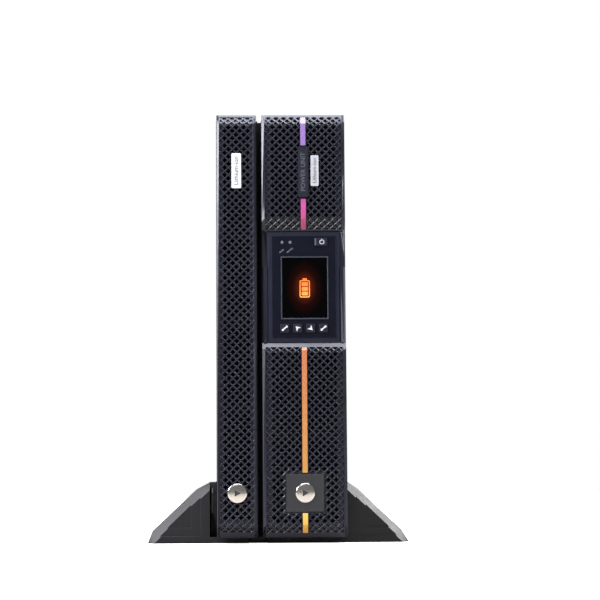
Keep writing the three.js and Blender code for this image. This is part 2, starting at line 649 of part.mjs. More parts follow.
// side is 1 for the right foot and -1 for the left one. Outlines are given for the right one.
function foot(side, floorEnd) {
  const shift = side * SLOPE_SHIFT;
  const outer = [
    [FOOT_TIP, 0],
    [127.5 + shift, 12.8],
    [82.3 + shift, 54.8],
    [FOOT_INNER, 62],
    [FOOT_INNER, 0],
  ];
  const face = [
    [FACE_TIP, 0],
    [FOOT_INNER, faceHeight(FOOT_INNER)],
    [FOOT_INNER, 0],
  ];
  const chamferDepth = 10;
  const ring = (outline, y) => outline.map(([x, z]) => new THREE.Vector3(x * side, y, z));
  const wedge = solidOf(
    new ConvexGeometry([
      ...ring(face, 0),
      ...ring(outer, chamferDepth),
      ...ring(outer, STAND_DEPTH - chamferDepth),
      ...ring(face, STAND_DEPTH),
    ]),
  );
  const mirrored = (pairs) => pairs.map(([x, z]) => [x * side, z]);
  // Two nested triangular steps in the front face, and the same in the rear face.
  const step = (inner, low, depth) => {
    const over = 3;
    const outline = mirrored([
      [inner, low],
      [FACE_TIP + over - low / FACE_SLOPE, low],
      [inner, faceHeight(inner) + over],
    ]);
    return [slab(outline, -1, depth), slab(outline, STAND_DEPTH - depth, STAND_DEPTH + 1)];
  };
  const ends = [floorEnd, side * (FOOT_INNER + 1)].sort((a, b) => a - b);
  const floor = block(ends[0], ends[1], 0, STAND_DEPTH, 0, FLOOR_THICK);
  const body = join(wedge, floor);
  return cut(body, ...step(79.4, 7.2, 1.2), ...step(89.3, 15.8, 2.4));
}

const LEFT_UNIT_SIDE = BATTERY_X - BATTERY_WIDTH / 2;

function addStand(name, y) {
  const group = new THREE.Group();
  group.position.set(0, y, 0);
  // A bumper on the left foot takes up the slack beside the battery module.
  const bumper = slab(
    [
      [-FOOT_INNER - 0.5, 62],
      [LEFT_UNIT_SIDE - GAP, 62],
      [LEFT_UNIT_SIDE - GAP, 18],
      [LEFT_UNIT_SIDE - 4, 33],
      [LEFT_UNIT_SIDE - 4, 56],
      [-FOOT_INNER - 0.5, 56],
    ],
    8,
    STAND_DEPTH - 8,
  );
  // A web closes the slot below the bumper.
  const middleY = STAND_DEPTH / 2;
  const web = block(-FOOT_INNER - 0.5, LEFT_UNIT_SIDE - GAP, middleY - 2, middleY + 2, 0, 30);
  const reach = 6;
  const leftPockets = TONGUES.map((t) =>
    tonguePocket(LEFT_FLOOR_END - reach - GAP, LEFT_FLOOR_END + 1, t));
  const rightPockets = TONGUES.map((t) =>
    tonguePocket(RIGHT_FLOOR_END - 1, RIGHT_FLOOR_END + reach + GAP, t));
  const leftFoot = join(foot(-1, LEFT_FLOOR_END), bumper, web);
  piece(group, `${name}_left_foot`, cut(leftFoot, ...leftPockets), standPlastic);
  piece(group, `${name}_right_foot`, cut(foot(1, RIGHT_FLOOR_END), ...rightPockets), standPlastic);
  const middle = block(LEFT_FLOOR_END + GAP, RIGHT_FLOOR_END - GAP, 5, STAND_DEPTH - 5, 0, FLOOR_THICK);
  const tongues = TONGUES.map((t) => tongue(LEFT_FLOOR_END - reach, RIGHT_FLOOR_END + reach, t));
  piece(group, `${name}_spacer`, join(middle, ...tongues), standPlastic);
  return group;
}

// Assembly -------------------------------------------------------------------------------------

const ups = unitGroup(UPS_X);
addUpsFront(ups);
addDisplay(ups);
const upsIntake = [
  ...ventSlots(28, 20, 186, 83, 74, CASE_FRONT - 1, CASE_FRONT + 3),
  ...ventSlots(28, 330, 415, 85, 78, CASE_FRONT - 1, CASE_FRONT + 3),
];
piece(ups, "ups_chassis", cut(tray(UPS_WIDTH / 2, [upperBezel, lowerBezel]), ...upsIntake), casePaint);
piece(ups, "ups_cover", cover(UPS_WIDTH / 2), casePaint);
addUpsRear(ups);
addUpsInside(ups);

const battery = unitGroup(BATTERY_X);
addBattery(battery);

const standY = FRONT_Y + STAND_SETBACK;
const assembly = new THREE.Group();
assembly.add(ups, battery, addStand("front", standY), addStand("rear", -standY - STAND_DEPTH));

export default assembly;
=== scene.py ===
"""Visual model of a rack UPS and a slim battery module, stood on edge in plastic tower feet."""
import json
import math

import bmesh
import bpy
from mathutils import Matrix, Vector


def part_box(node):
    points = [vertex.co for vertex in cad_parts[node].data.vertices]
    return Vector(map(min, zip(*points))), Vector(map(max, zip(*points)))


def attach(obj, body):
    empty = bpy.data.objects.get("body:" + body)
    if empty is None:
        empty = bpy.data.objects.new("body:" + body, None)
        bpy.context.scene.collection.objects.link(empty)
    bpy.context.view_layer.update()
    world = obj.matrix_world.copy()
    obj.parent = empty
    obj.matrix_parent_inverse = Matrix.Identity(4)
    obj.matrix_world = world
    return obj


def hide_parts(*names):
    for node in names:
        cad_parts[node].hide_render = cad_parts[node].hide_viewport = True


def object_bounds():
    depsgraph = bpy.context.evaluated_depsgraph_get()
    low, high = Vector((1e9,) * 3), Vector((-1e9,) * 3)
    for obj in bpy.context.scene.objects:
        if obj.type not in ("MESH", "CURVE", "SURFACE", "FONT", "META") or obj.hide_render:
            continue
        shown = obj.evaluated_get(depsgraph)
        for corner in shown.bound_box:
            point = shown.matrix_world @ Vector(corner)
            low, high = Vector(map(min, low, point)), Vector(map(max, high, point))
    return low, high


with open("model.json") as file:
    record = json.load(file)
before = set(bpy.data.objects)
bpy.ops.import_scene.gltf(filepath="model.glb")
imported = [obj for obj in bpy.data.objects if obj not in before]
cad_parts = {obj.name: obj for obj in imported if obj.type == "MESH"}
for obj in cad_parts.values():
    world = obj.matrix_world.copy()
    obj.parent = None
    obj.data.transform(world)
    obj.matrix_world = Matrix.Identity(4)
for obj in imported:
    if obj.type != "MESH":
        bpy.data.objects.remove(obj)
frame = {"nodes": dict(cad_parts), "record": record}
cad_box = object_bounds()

MM = 0.001
NODES = frame["nodes"]
SLOT_OF = {s["node"]: s["material_slot"] for s in frame["record"]["subparts"]}
BODY_OF = {n: b for b, members in frame["record"]["behaviour"]["bodies"].items() for n in members}


def centre(node):
    low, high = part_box(node)
    return (low + high) / 2


# Local frames: x across the unit, y back from the bezel's front, z up from its lowest edge, in mm.
def unit_origin(bezel):
    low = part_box(bezel)[0]
    return Vector((centre(bezel).x, low.y, low.z))


UPS = unit_origin("lower_bezel")
BATTERY = unit_origin("battery_bezel")


def place(origin, x, y, z):
    """The world point of a place in a unit's local frame."""
    return origin + Vector((x, y, z)) * MM


def local(origin, point):
    return (point - origin) / MM


def span(origin, node):
    """A node's lowest corner, highest corner and centre, in a unit's local frame."""
    low, high = (local(origin, p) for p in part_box(node))
    return low, high, (low + high) / 2


# Materials ----------

# Colours are display levels from 0 to 255 where a look is listed, and linear inside it.
# The part of its range that a noise really fills, and where patches of colour change over.
NOISE_RANGE = (0.3, 0.7)
PATCH_STOPS = (0.35, 0.65)


def srgb(*levels):
    """Linear colour of 0 to 255 display levels."""
    shares = [v / 255 for v in levels]
    return tuple(s / 12.92 if s <= 0.04045 else ((s + 0.055) / 1.055) ** 2.4 for s in shares)


class Finish:
    """A node material: a principled shader with helpers for procedural detail around it."""

    def __init__(self, name, color, roughness, metallic=0.0, **sockets):
        self.material = bpy.data.materials.new(name)
        self.material.use_nodes = True
        self.nodes = self.material.node_tree.nodes
        self.links = self.material.node_tree.links
        self.shader = self.nodes["Principled BSDF"]
        self.color = color
        self.shader.inputs["Base Color"].default_value = (*color, 1)
        self.shader.inputs["Roughness"].default_value = roughness
        self.shader.inputs["Metallic"].default_value = metallic
        for socket, value in sockets.items():
            self.shader.inputs[socket.replace("_", " ")].default_value = value
        self.place = self.nodes.new("ShaderNodeTexCoord").outputs["Object"]
        self.normal = None

    def node(self, kind, links=None, **settings):
        """A new node. Each setting is one of its own attributes or, if it has none, an input."""
        made = self.nodes.new(kind)
        for key, value in settings.items():
            if hasattr(made, key):
                setattr(made, key, value)
            else:
                made.inputs[key.replace("_", " ").title()].default_value = value
        for key, source in (links or {}).items():
            self.links.new(source, made.inputs[key])
        return made

    def drive(self, socket, source):
        self.links.new(source, self.shader.inputs[socket])

    def noise(self, scale, stretch=(1, 1, 1), detail=3.0):
        mapping = self.node("ShaderNodeMapping", {"Vector": self.place}, scale=stretch)
        links = {"Vector": mapping.outputs["Vector"]}
        return self.node("ShaderNodeTexNoise", links, scale=scale, detail=detail).outputs["Fac"]

    def ramp(self, source, *stops):
        made = self.node("ShaderNodeValToRGB", {"Fac": source})
        elements = made.color_ramp.elements
        while len(elements) < len(stops):
            elements.new(0.5)
        for element, (position, color) in zip(elements, stops):
            element.position = position
            element.color = (*color, 1)
        return made.outputs["Color"]

    def rescaled(self, source, low, high, to_low=0.0, to_high=1.0):
        """source, with low to high stretched over to_low to to_high."""
        ranges = {"from_min": low, "from_max": high, "to_min": to_low, "to_max": to_high}
        return self.node("ShaderNodeMapRange", {"Value": source}, **ranges).outputs["Result"]

    def along_z(self, low, high, *stops):
        """A colour that changes with height, from low to high."""
        split = self.node("ShaderNodeSeparateXYZ", {"Vector": self.place})
        return self.ramp(self.rescaled(split.outputs["Z"], low, high), *stops)

    def distance(self, middle, weights):
        """The distance from middle, with each axis weighted."""
        shift = self.node("ShaderNodeVectorMath", {0: self.place}, operation="SUBTRACT")
        shift.inputs[1].default_value = middle
        weighed = self.node("ShaderNodeVectorMath", {0: shift.outputs["Vector"]}, operation="MULTIPLY")
        weighed.inputs[1].default_value = weights
        links = {0: weighed.outputs["Vector"]}
        return self.node("ShaderNodeVectorMath", links, operation="LENGTH").outputs["Value"]

    def mottle(self, source, amount):
        """Lighter and darker patches of the base colour."""
        shades = [tuple(min(1.0, c * k) for c in self.color) for k in (1 - amount, 1 + amount)]
        self.drive("Base Color", self.ramp(source, *zip(PATCH_STOPS, shades)))

    def vary_roughness(self, source, low, high):
        self.drive("Roughness", self.rescaled(source, *NOISE_RANGE, low, high))

    def bump(self, source, depth_mm):
        links = {"Height": source}
        if self.normal is not None:
            links["Normal"] = self.normal
        made = self.node("ShaderNodeBump", links, distance=depth_mm * MM, strength=1.0)
        self.normal = made.outputs["Normal"]
        self.drive("Normal", self.normal)


def moulded(name, color, roughness, grain=2200, depth=0.03):
    """Moulded plastic: spark-eroded grain, with slow changes of shade and sheen."""
    made = Finish(name, srgb(*color), roughness)
    made.mottle(made.noise(14, detail=4), 0.07)
    made.vary_roughness(made.noise(45), roughness - 0.05, roughness + 0.06)
    made.bump(made.noise(grain, detail=2), depth)
    return made.material


def powder_coat(name, color, roughness):
    """Powder-coated sheet: orange peel a millimetre or so across and a few dull patches."""
    made = Finish(name, srgb(*color), roughness, Specular_IOR_Level=0.5)
    made.mottle(made.noise(9, detail=5), 0.05)
    made.vary_roughness(made.noise(25, detail=4), roughness - 0.07, roughness + 0.08)
    made.bump(made.noise(900, detail=1), 0.05)
    made.bump(made.noise(3500, detail=1), 0.02)
    return made.material


def smooth_plastic(name, color, roughness, specular=0.5):
    """Glossy or satin film and caps: nearly even, with faint smears in the gloss."""
    made = Finish(name, srgb(*color), roughness, Specular_IOR_Level=specular)
    made.mottle(made.noise(60, detail=3), 0.03)
    made.vary_roughness(made.noise(120, detail=4), max(0.04, roughness - 0.04), roughness + 0.06)
    made.bump(made.noise(500, detail=1), 0.006)
    return made.material


def drawn_metal(name, color, roughness, stretch=(1, 1, 1)):
    """Rolled or drawn metal with fine lines along one direction."""
    made = Finish(name, srgb(*color), roughness, metallic=1.0)
    lines = made.noise(900, stretch=stretch, detail=3)
    made.mottle(lines, 0.08)
    made.vary_roughness(lines, roughness - 0.08, roughness + 0.1)
    made.bump(lines, 0.01)
    return made.material


def graded_strip(name, shade, colors):
    """A coloured strip whose shade runs up it through the given colours."""
    low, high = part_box(f"accent_strip_{shade}")
    stops = [(i / (len(colors) - 1), srgb(*color)) for i, color in enumerate(colors)]
    made = Finish(name, stops[0][1], 0.35)
    made.drive("Base Color", made.along_z(low.z, high.z, *stops))
    made.vary_roughness(made.noise(150), 0.3, 0.42)
    made.bump(made.noise(1500, detail=1), 0.01)
    return made.material


def spun_metal(name, badge):
    """Metal turned on a lathe: rings about the badge's own axis."""
    made = Finish(name, srgb(236, 230, 220), 0.16, metallic=1.0)
    from_axis = made.distance(centre(badge), (1, 0, 1))
    rings = made.node("ShaderNodeTexNoise", {"W": from_axis}, noise_dimensions="1D", scale=3500, detail=2)
    made.mottle(rings.outputs["Fac"], 0.1)
    made.vary_roughness(rings.outputs["Fac"], 0.12, 0.22)
    made.bump(rings.outputs["Fac"], 0.012)
    return made.material


def circuit_board(name):
    """Green solder mask with squarish copper areas showing through it."""
    made = Finish(name, (0.02, 0.13, 0.06), 0.35)
    cells = made.node("ShaderNodeTexVoronoi", {"Vector": made.place}, distance="MANHATTAN", scale=160)
    greens = (0.2, (0.015, 0.1, 0.045)), (0.55, (0.03, 0.17, 0.08))
    made.drive("Base Color", made.ramp(cells.outputs["Distance"], *greens))
    made.bump(cells.outputs["Distance"], 0.03)
    return made.material


def wound_copper(name):
    """Enamelled wire lying side by side."""
    made = Finish(name, (0.42, 0.15, 0.05), 0.3, metallic=1.0)
    wave = made.node("ShaderNodeTexWave", {"Vector": made.place}, wave_type="RINGS", scale=180)
    made.mottle(wave.outputs["Fac"], 0.35)
    made.bump(wave.outputs["Fac"], 0.4)
    return made.material


def screen_glow(name):
    """Orange at the bottom to red at the top, lit from behind."""
    made = Finish(name, (0.9, 0.2, 0.03), 0.4)
    middle = centre("lcd_screen").z
    reds = (0.0, (1.0, 0.36, 0.12)), (0.5, (0.95, 0.13, 0.03)), (1.0, (0.5, 0.03, 0.01))
    made.drive("Emission Color", made.along_z(middle - 0.012, middle + 0.012, *reds))
    made.shader.inputs["Emission Strength"].default_value = 1.1
    made.bump(made.noise(900, detail=1), 0.01)
    return made.material


def screen_glass(name):
    """Black glass with a soft dark-red glow around the symbol."""
    made = Finish(name, (0.001, 0.001, 0.0012), 0.08, Specular_IOR_Level=0.08)
    reach = made.distance(centre("lcd_screen"), (1.25, 0, 0.85))
    color = made.ramp(
        made.rescaled(reach, 0.002, 0.024),
        (0.0, (0.32, 0.05, 0.01)),
        (0.3, (0.09, 0.012, 0.002)),
        (0.6, (0.016, 0.0015, 0.0003)),
        (1.0, (0.0, 0.0, 0.0)),
    )
    made.drive("Emission Color", color)
    made.shader.inputs["Emission Strength"].default_value = 0.8
    made.vary_roughness(made.noise(120, detail=4), 0.06, 0.14)
    made.bump(made.noise(500, detail=1), 0.003)
    return made.material


# Display levels from the bottom of each strip to its top.
STRIP_COLORS = {
    "violet": ((147, 114, 178), (150, 118, 183), (128, 118, 166)),
    "magenta": ((168, 65, 93), (189, 79, 133), (194, 88, 157)),
    "orange": ((202, 148, 76), (200, 133, 78), (200, 120, 82)),
    "amber": ((232, 168, 64), (242, 202, 100)),
}
SLOT_LOOKS = {
    "bezel_plastic": (moulded, (30, 31, 43), 0.31),
    "stand_plastic": (moulded, (20, 20, 22), 0.46, 1500, 0.05),
    "case_paint": (powder_coat, (24, 24, 28), 0.42),
    "fascia_gloss": (smooth_plastic, (19, 21, 32), 0.22, 0.2),
    "key_plastic": (smooth_plastic, (31, 34, 45), 0.4, 0.3),
    "display_glass": (smooth_plastic, (5, 4, 5), 0.08),
    "bright_trim": (drawn_metal, (96, 100, 110), 0.4, (1, 1, 12)),
    "circuit_board": (circuit_board,),
    "heatsink_aluminium": (drawn_metal, (190, 192, 195), 0.35, (1, 0.05, 1)),
    "copper_winding": (wound_copper,),
    "capacitor_sleeve": (smooth_plastic, (30, 38, 72), 0.3),
    "cell_sleeve": (smooth_plastic, (46, 92, 140), 0.35),
    "fan_plastic": (moulded, (28, 28, 31), 0.42),
    "guard_wire": (drawn_metal, (196, 198, 202), 0.22),
    "card_plate": (drawn_metal, (176, 179, 184), 0.3, (1, 1, 0.04)),
    "socket_plastic": (moulded, (52, 53, 58), 0.45),
    "lamp_lens": (smooth_plastic, (112, 116, 124), 0.2),
    **{f"strip_{shade}": (graded_strip, shade, colors) for shade, colors in STRIP_COLORS.items()},
}
LOOKS = {slot: make(slot, *values) for slot, (make, *values) in SLOT_LOOKS.items()}
# Nodes that don't look like the rest of their slot.
LOOKS |= {
    "badge_plate": moulded("badge_plate_plastic", (48, 49, 51), 0.4),
    "display_housing": moulded("display_ring_plastic", (26, 30, 48), 0.36),
    "lcd_screen": screen_glass("lcd_glass"),
    "battery_label": smooth_plastic("battery_label_film", (232, 232, 233), 0.5),
    "ups_label": smooth_plastic("ups_label_film", (192, 193, 196), 0.5),
    "ups_badge": spun_metal("ups_badge_metal", "ups_badge"),
    "battery_badge": spun_metal("battery_badge_metal", "battery_badge"),
}
MARKING = smooth_plastic("marking", (226, 228, 232), 0.5)
DIM_MARKING = smooth_plastic("dim_marking", (96, 99, 107), 0.5)
POINTER_INK = smooth_plastic("pointer_ink", (58, 56, 54), 0.35)
LABEL_INK = smooth_plastic("label_ink", (84, 86, 92), 0.6)
GLOW = screen_glow("screen_glow")
ZINC = drawn_metal("zinc_screw", (178, 180, 182), 0.3)
BLACK_SCREW = drawn_metal("black_screw", (52, 53, 56), 0.38)
GOLD = drawn_metal("gold_contact", (214, 170, 92), 0.25)
RUBBER = moulded("rubber", (24, 24, 25), 0.65)
FOAM = moulded("filter_foam", (16, 16, 18), 0.9, grain=700, depth=0.6)


def look_of(node):
    return LOOKS.get(node) or LOOKS[SLOT_OF[node]]


# Mesh helpers ----------

SHARP = math.radians(38)
WELD = 1e-6


def link(name, data):
    made = bpy.data.objects.new(name, data)
    bpy.context.scene.collection.objects.link(made)
    return made


def piece(name, bm, material, body, slot=None, stands_for=(), weighted=True):
    """Turns bm into an object that rides body, and may stand for some CAD nodes."""
    mesh = bpy.data.meshes.new(name)
    bmesh.ops.recalc_face_normals(bm, faces=bm.faces)
    bm.to_mesh(mesh)
    bm.free()
    mesh.materials.append(material)
    mesh.shade_smooth()
    mesh.set_sharp_from_angle(angle=SHARP)
    made = link(name, mesh)
    if weighted:
        made.modifiers.new("shading", "WEIGHTED_NORMAL").keep_sharp = True
    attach(made, body)
    if stands_for:
        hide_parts(*stands_for)


def node_piece(suffix, bm, node, **options):
    """A piece with its node's look and body."""
    piece(f"{node}.{suffix}", bm, look_of(node), BODY_OF[node], SLOT_OF[node], **options)


def welded(node):
    """A CAD node's mesh with its corners joined."""
    bm = bmesh.new()
    bm.from_mesh(NODES[node].data)
    bmesh.ops.remove_doubles(bm, verts=bm.verts, dist=WELD)
    return bm


def round_edges(bm, width_mm, segments=2, keep=lambda edge: True, least_angle=25):
    """Bevels the edges that turn by more than least_angle degrees, where keep agrees."""
    least = math.radians(least_angle)
    edges = [e for e in bm.edges if e.is_manifold and abs(e.calc_face_angle(0)) > least and keep(e)]
    bmesh.ops.bevel(
        bm,
        geom=edges,
        offset=width_mm * MM,
        offset_type="OFFSET",
        segments=segments,
        profile=0.5,
        affect="EDGES",
        clamp_overlap=True,
    )


def refine(node, width_mm):
    """The node's own shape, with its flat faces whole again and its edges rounded."""
    bm = welded(node)
    bmesh.ops.dissolve_limit(bm, angle_limit=math.radians(0.5), verts=bm.verts, edges=bm.edges)
    round_edges(bm, width_mm)
    node_piece("fine", bm, node, stands_for=[node])


def join_rings(bm, rings, closed=False):
    """Faces from each ring of corners to the next. A ring may be a single point."""
    for low, high in zip(rings, rings[1:] + rings[:1] if closed else rings[1:]):
        count = max(len(low), len(high))
        for i in range(count):
            j = (i + 1) % count
            corners = (low[i % len(low)], low[j % len(low)], high[j % len(high)], high[i % len(high)])
            bm.faces.new(list(dict.fromkeys(corners)))


def add_prism(bm, outline, depth_from, depth_to, to_world):
    """Adds a closed prism. outline is 2-D, and to_world maps (a, b, depth) to a point."""
    near, far = ([bm.verts.new(to_world(a, b, d)) for a, b in outline] for d in (depth_from, depth_to))
    bm.faces.new(near[::-1])
    bm.faces.new(far)
    join_rings(bm, [near, far])


def front_prism(bm, origin, outline, y0, y1):
    """A prism whose (x, z) outline faces the front of a unit."""
    add_prism(bm, outline, y0, y1, lambda x, z, y: place(origin, x, y, z))


def prisms(name, material, body, origin, y0, y1, *outlines):
    """A piece made of prisms that run between the same two depths."""
    bm = bmesh.new()
    for outline in outlines:
        front_prism(bm, origin, outline, y0, y1)
    piece(name, bm, material, body)


def add_ring(bm, origin, outer, inner, y0, y1):
    """A closed ring between two (x, z) outlines with as many corners."""
    bounds = (outer, y0), (inner, y0), (inner, y1), (outer, y1)
    rings = [[bm.verts.new(place(origin, a, y, b)) for a, b in outline] for outline, y in bounds]
    join_rings(bm, rings, closed=True)


def add_lathe(bm, profile, at, along, segments):
    """Adds a closed turned solid. profile is (radius, height) in mm, from axis to axis."""
    turn = Vector((0, 0, 1)).rotation_difference(Vector(along)).to_matrix()
    angles = [2 * math.pi * i / segments for i in range(segments)]
    rings = []
    for radius, height in profile:
        ring = [Vector((radius * math.cos(a), radius * math.sin(a), height)) * MM for a in angles]
        rings.append([bm.verts.new(at + turn @ p) for p in (ring if radius else ring[:1])])
    join_rings(bm, rings)


def add_tube(bm, path, radius_mm, sides=8, closed=False):
    """Adds a round wire along a path of world points."""
    count = len(path)
    angles = [2 * math.pi * k / sides for k in range(sides)]
    rings = []
    for i, point in enumerate(path):
        before = path[i - 1] if closed or i else point
        after = path[(i + 1) % count] if closed or i < count - 1 else point
        forward = (after - before).normalized()
        side = forward.cross(Vector((0, 1, 0)) if abs(forward.y) < 0.9 else Vector((1, 0, 0))).normalized()
        up = forward.cross(side)
        offsets = [(side * math.cos(a) + up * math.sin(a)) * radius_mm * MM for a in angles]
        rings.append([bm.verts.new(point + o) for o in offsets])
    join_rings(bm, rings, closed)
    if not closed:
        bm.faces.new(rings[0][::-1])
        bm.faces.new(rings[-1])


def circle_xz(at, radius_mm, count):
    angles = [2 * math.pi * i / count for i in range(count)]
    return [at + Vector((math.cos(a), 0, math.sin(a))) * radius_mm * MM for a in angles]


# Outlines are lists of (x, z) in mm.


def moved(outline, x, z, degrees=0.0):
    turn = math.radians(degrees)
    c, s = math.cos(turn), math.sin(turn)
    return [(x + a * c - b * s, z + a * s + b * c) for a, b in outline]


def arc(radius, first, last, count=14):
    angles = [math.radians(first + (last - first) * i / count) for i in range(count + 1)]
    return [(radius * math.cos(a), radius * math.sin(a)) for a in angles]


def rounded(width, height, corner):
    """A rectangle with round corners."""
    outline = []
    for sx, sz, start in ((1, 1, 0), (-1, 1, 90), (-1, -1, 180), (1, -1, 270)):
        cx, cz = sx * (width / 2 - corner), sz * (height / 2 - corner)
        outline += [(cx + a, cz + b) for a, b in arc(corner, start, start + 90, 5)]
    return outline


def sharp(width, height):
    """A rectangle with square corners."""
    return [(a * width / 2, b * height / 2) for a, b in ((-1, -1), (1, -1), (1, 1), (-1, 1))]


def dumbbell(length, radius):
    """Two dots joined by a bar, along x."""
    half = length / 2 - radius
    waist = radius * 0.62
    sink = math.degrees(math.asin(waist / radius))
    right = [(half + a, b) for a, b in arc(radius, -180 + sink, 180 - sink)]
    left = [(-half + a, b) for a, b in arc(radius, sink, 360 - sink)]
    return right + left


# Grille bezels ----------

WALL = 2.5
SIDE_BEVEL_WIDTH = 2.6
COLUMN_PITCH = 7.8
GROOVE_HALF = 3.5
GROOVE_DEPTH = 1.6
# A cell's rings from its crest inwards: (share of the cell, depth in mm).
CELL_RINGS = ((0.9, 0.03), (0.83, 0.16), (0.62, 1.3), (0.55, 1.9))
PIT_RINGS = ((0.88, 0.03), (0.8, 0.18), (0.6, 1.2), (0.5, 1.7))
# In the dish round the badge the rings are drawn in, and reach less far below its floor.
DISH_RING_SHARE = 0.92
DISH_RING_DEPTH = 0.6
DISH_DEEPEST = 2.2
NEAR = 2e-5


class Front:
    """A bezel's front surface, unrolled: t runs up it from the crease above the lower bevel."""

    def __init__(self, origin, bottom, top, low_bevel, high_bevel):
        self.origin = origin
        self.low_arc = math.hypot(*low_bevel)
        self.high_arc = math.hypot(*high_bevel)
        self.z_low = bottom + low_bevel[0]
        self.flat = top - high_bevel[0] - self.z_low
        self.bottom = -self.low_arc
        self.top = self.flat + self.high_arc
        # Directions of travel (y, z) on the lower bevel and on the upper one.
        self.low_way = (-low_bevel[1] / self.low_arc, low_bevel[0] / self.low_arc)
        self.high_way = (high_bevel[1] / self.high_arc, high_bevel[0] / self.high_arc)

    def point(self, x, t, depth):
        """The world point at (x, t), depth mm below the surface."""
        if t <= 0:
            way, base, run = self.low_way, 0.0, t
        elif t <= self.flat:
            way, base, run = (0.0, 1.0), 0.0, t
        else:
            way, base, run = self.high_way, self.flat, t - self.flat
        y = way[0] * run
        z = self.z_low + base + way[1] * run
        inward = Vector((way[1], -way[0]))
        for crease, other in ((0, self.low_way), (self.flat, self.high_way)):
            if abs(t - crease) < 1e-6:
                first, second = Vector((1, 0)), Vector((other[1], -other[0]))
                inward = (first + second) / (1 + first.dot(second))
        return place(self.origin, x, y + inward.x * depth, z + inward.y * depth)


def clipped(polygon, x0, x1, t0, t1):
    """A convex polygon cut to a rectangle."""
    for axis, limit, sign in ((0, x0, 1), (0, x1, -1), (1, t0, 1), (1, t1, -1)):
        kept = []
        for a, b in zip(polygon, polygon[1:] + polygon[:1]):
            inside_a, inside_b = sign * (a[axis] - limit) >= -1e-7, sign * (b[axis] - limit) >= -1e-7
            if inside_a:
                kept.append(a)
            if inside_a != inside_b:
                share = (limit - a[axis]) / (b[axis] - a[axis])
                kept.append(tuple(a[i] + share * (b[i] - a[i]) for i in (0, 1)))
        polygon = kept
        if not polygon:
            return []
    distinct = []
    for p in polygon:
        if not distinct or math.dist(p, distinct[-1]) > 1e-6:
            distinct.append(p)
    if len(distinct) > 1 and math.dist(distinct[0], distinct[-1]) < 1e-6:
        distinct.pop()
    return distinct


def with_creases(polygon, creases):
    """The polygon with a corner added wherever an edge crosses a crease."""
    made = []
    for a, b in zip(polygon, polygon[1:] + polygon[:1]):
        made.append(a)
        for crease in creases:
            if (a[1] - crease) * (b[1] - crease) < -1e-9:
                share = (crease - a[1]) / (b[1] - a[1])
                made.append((a[0] + share * (b[0] - a[0]), crease))
    return made


def area_of(polygon):
    pairs = zip(polygon, polygon[1:] + polygon[:1])
    return abs(sum(a[0] * b[1] - b[0] * a[1] for a, b in pairs)) / 2


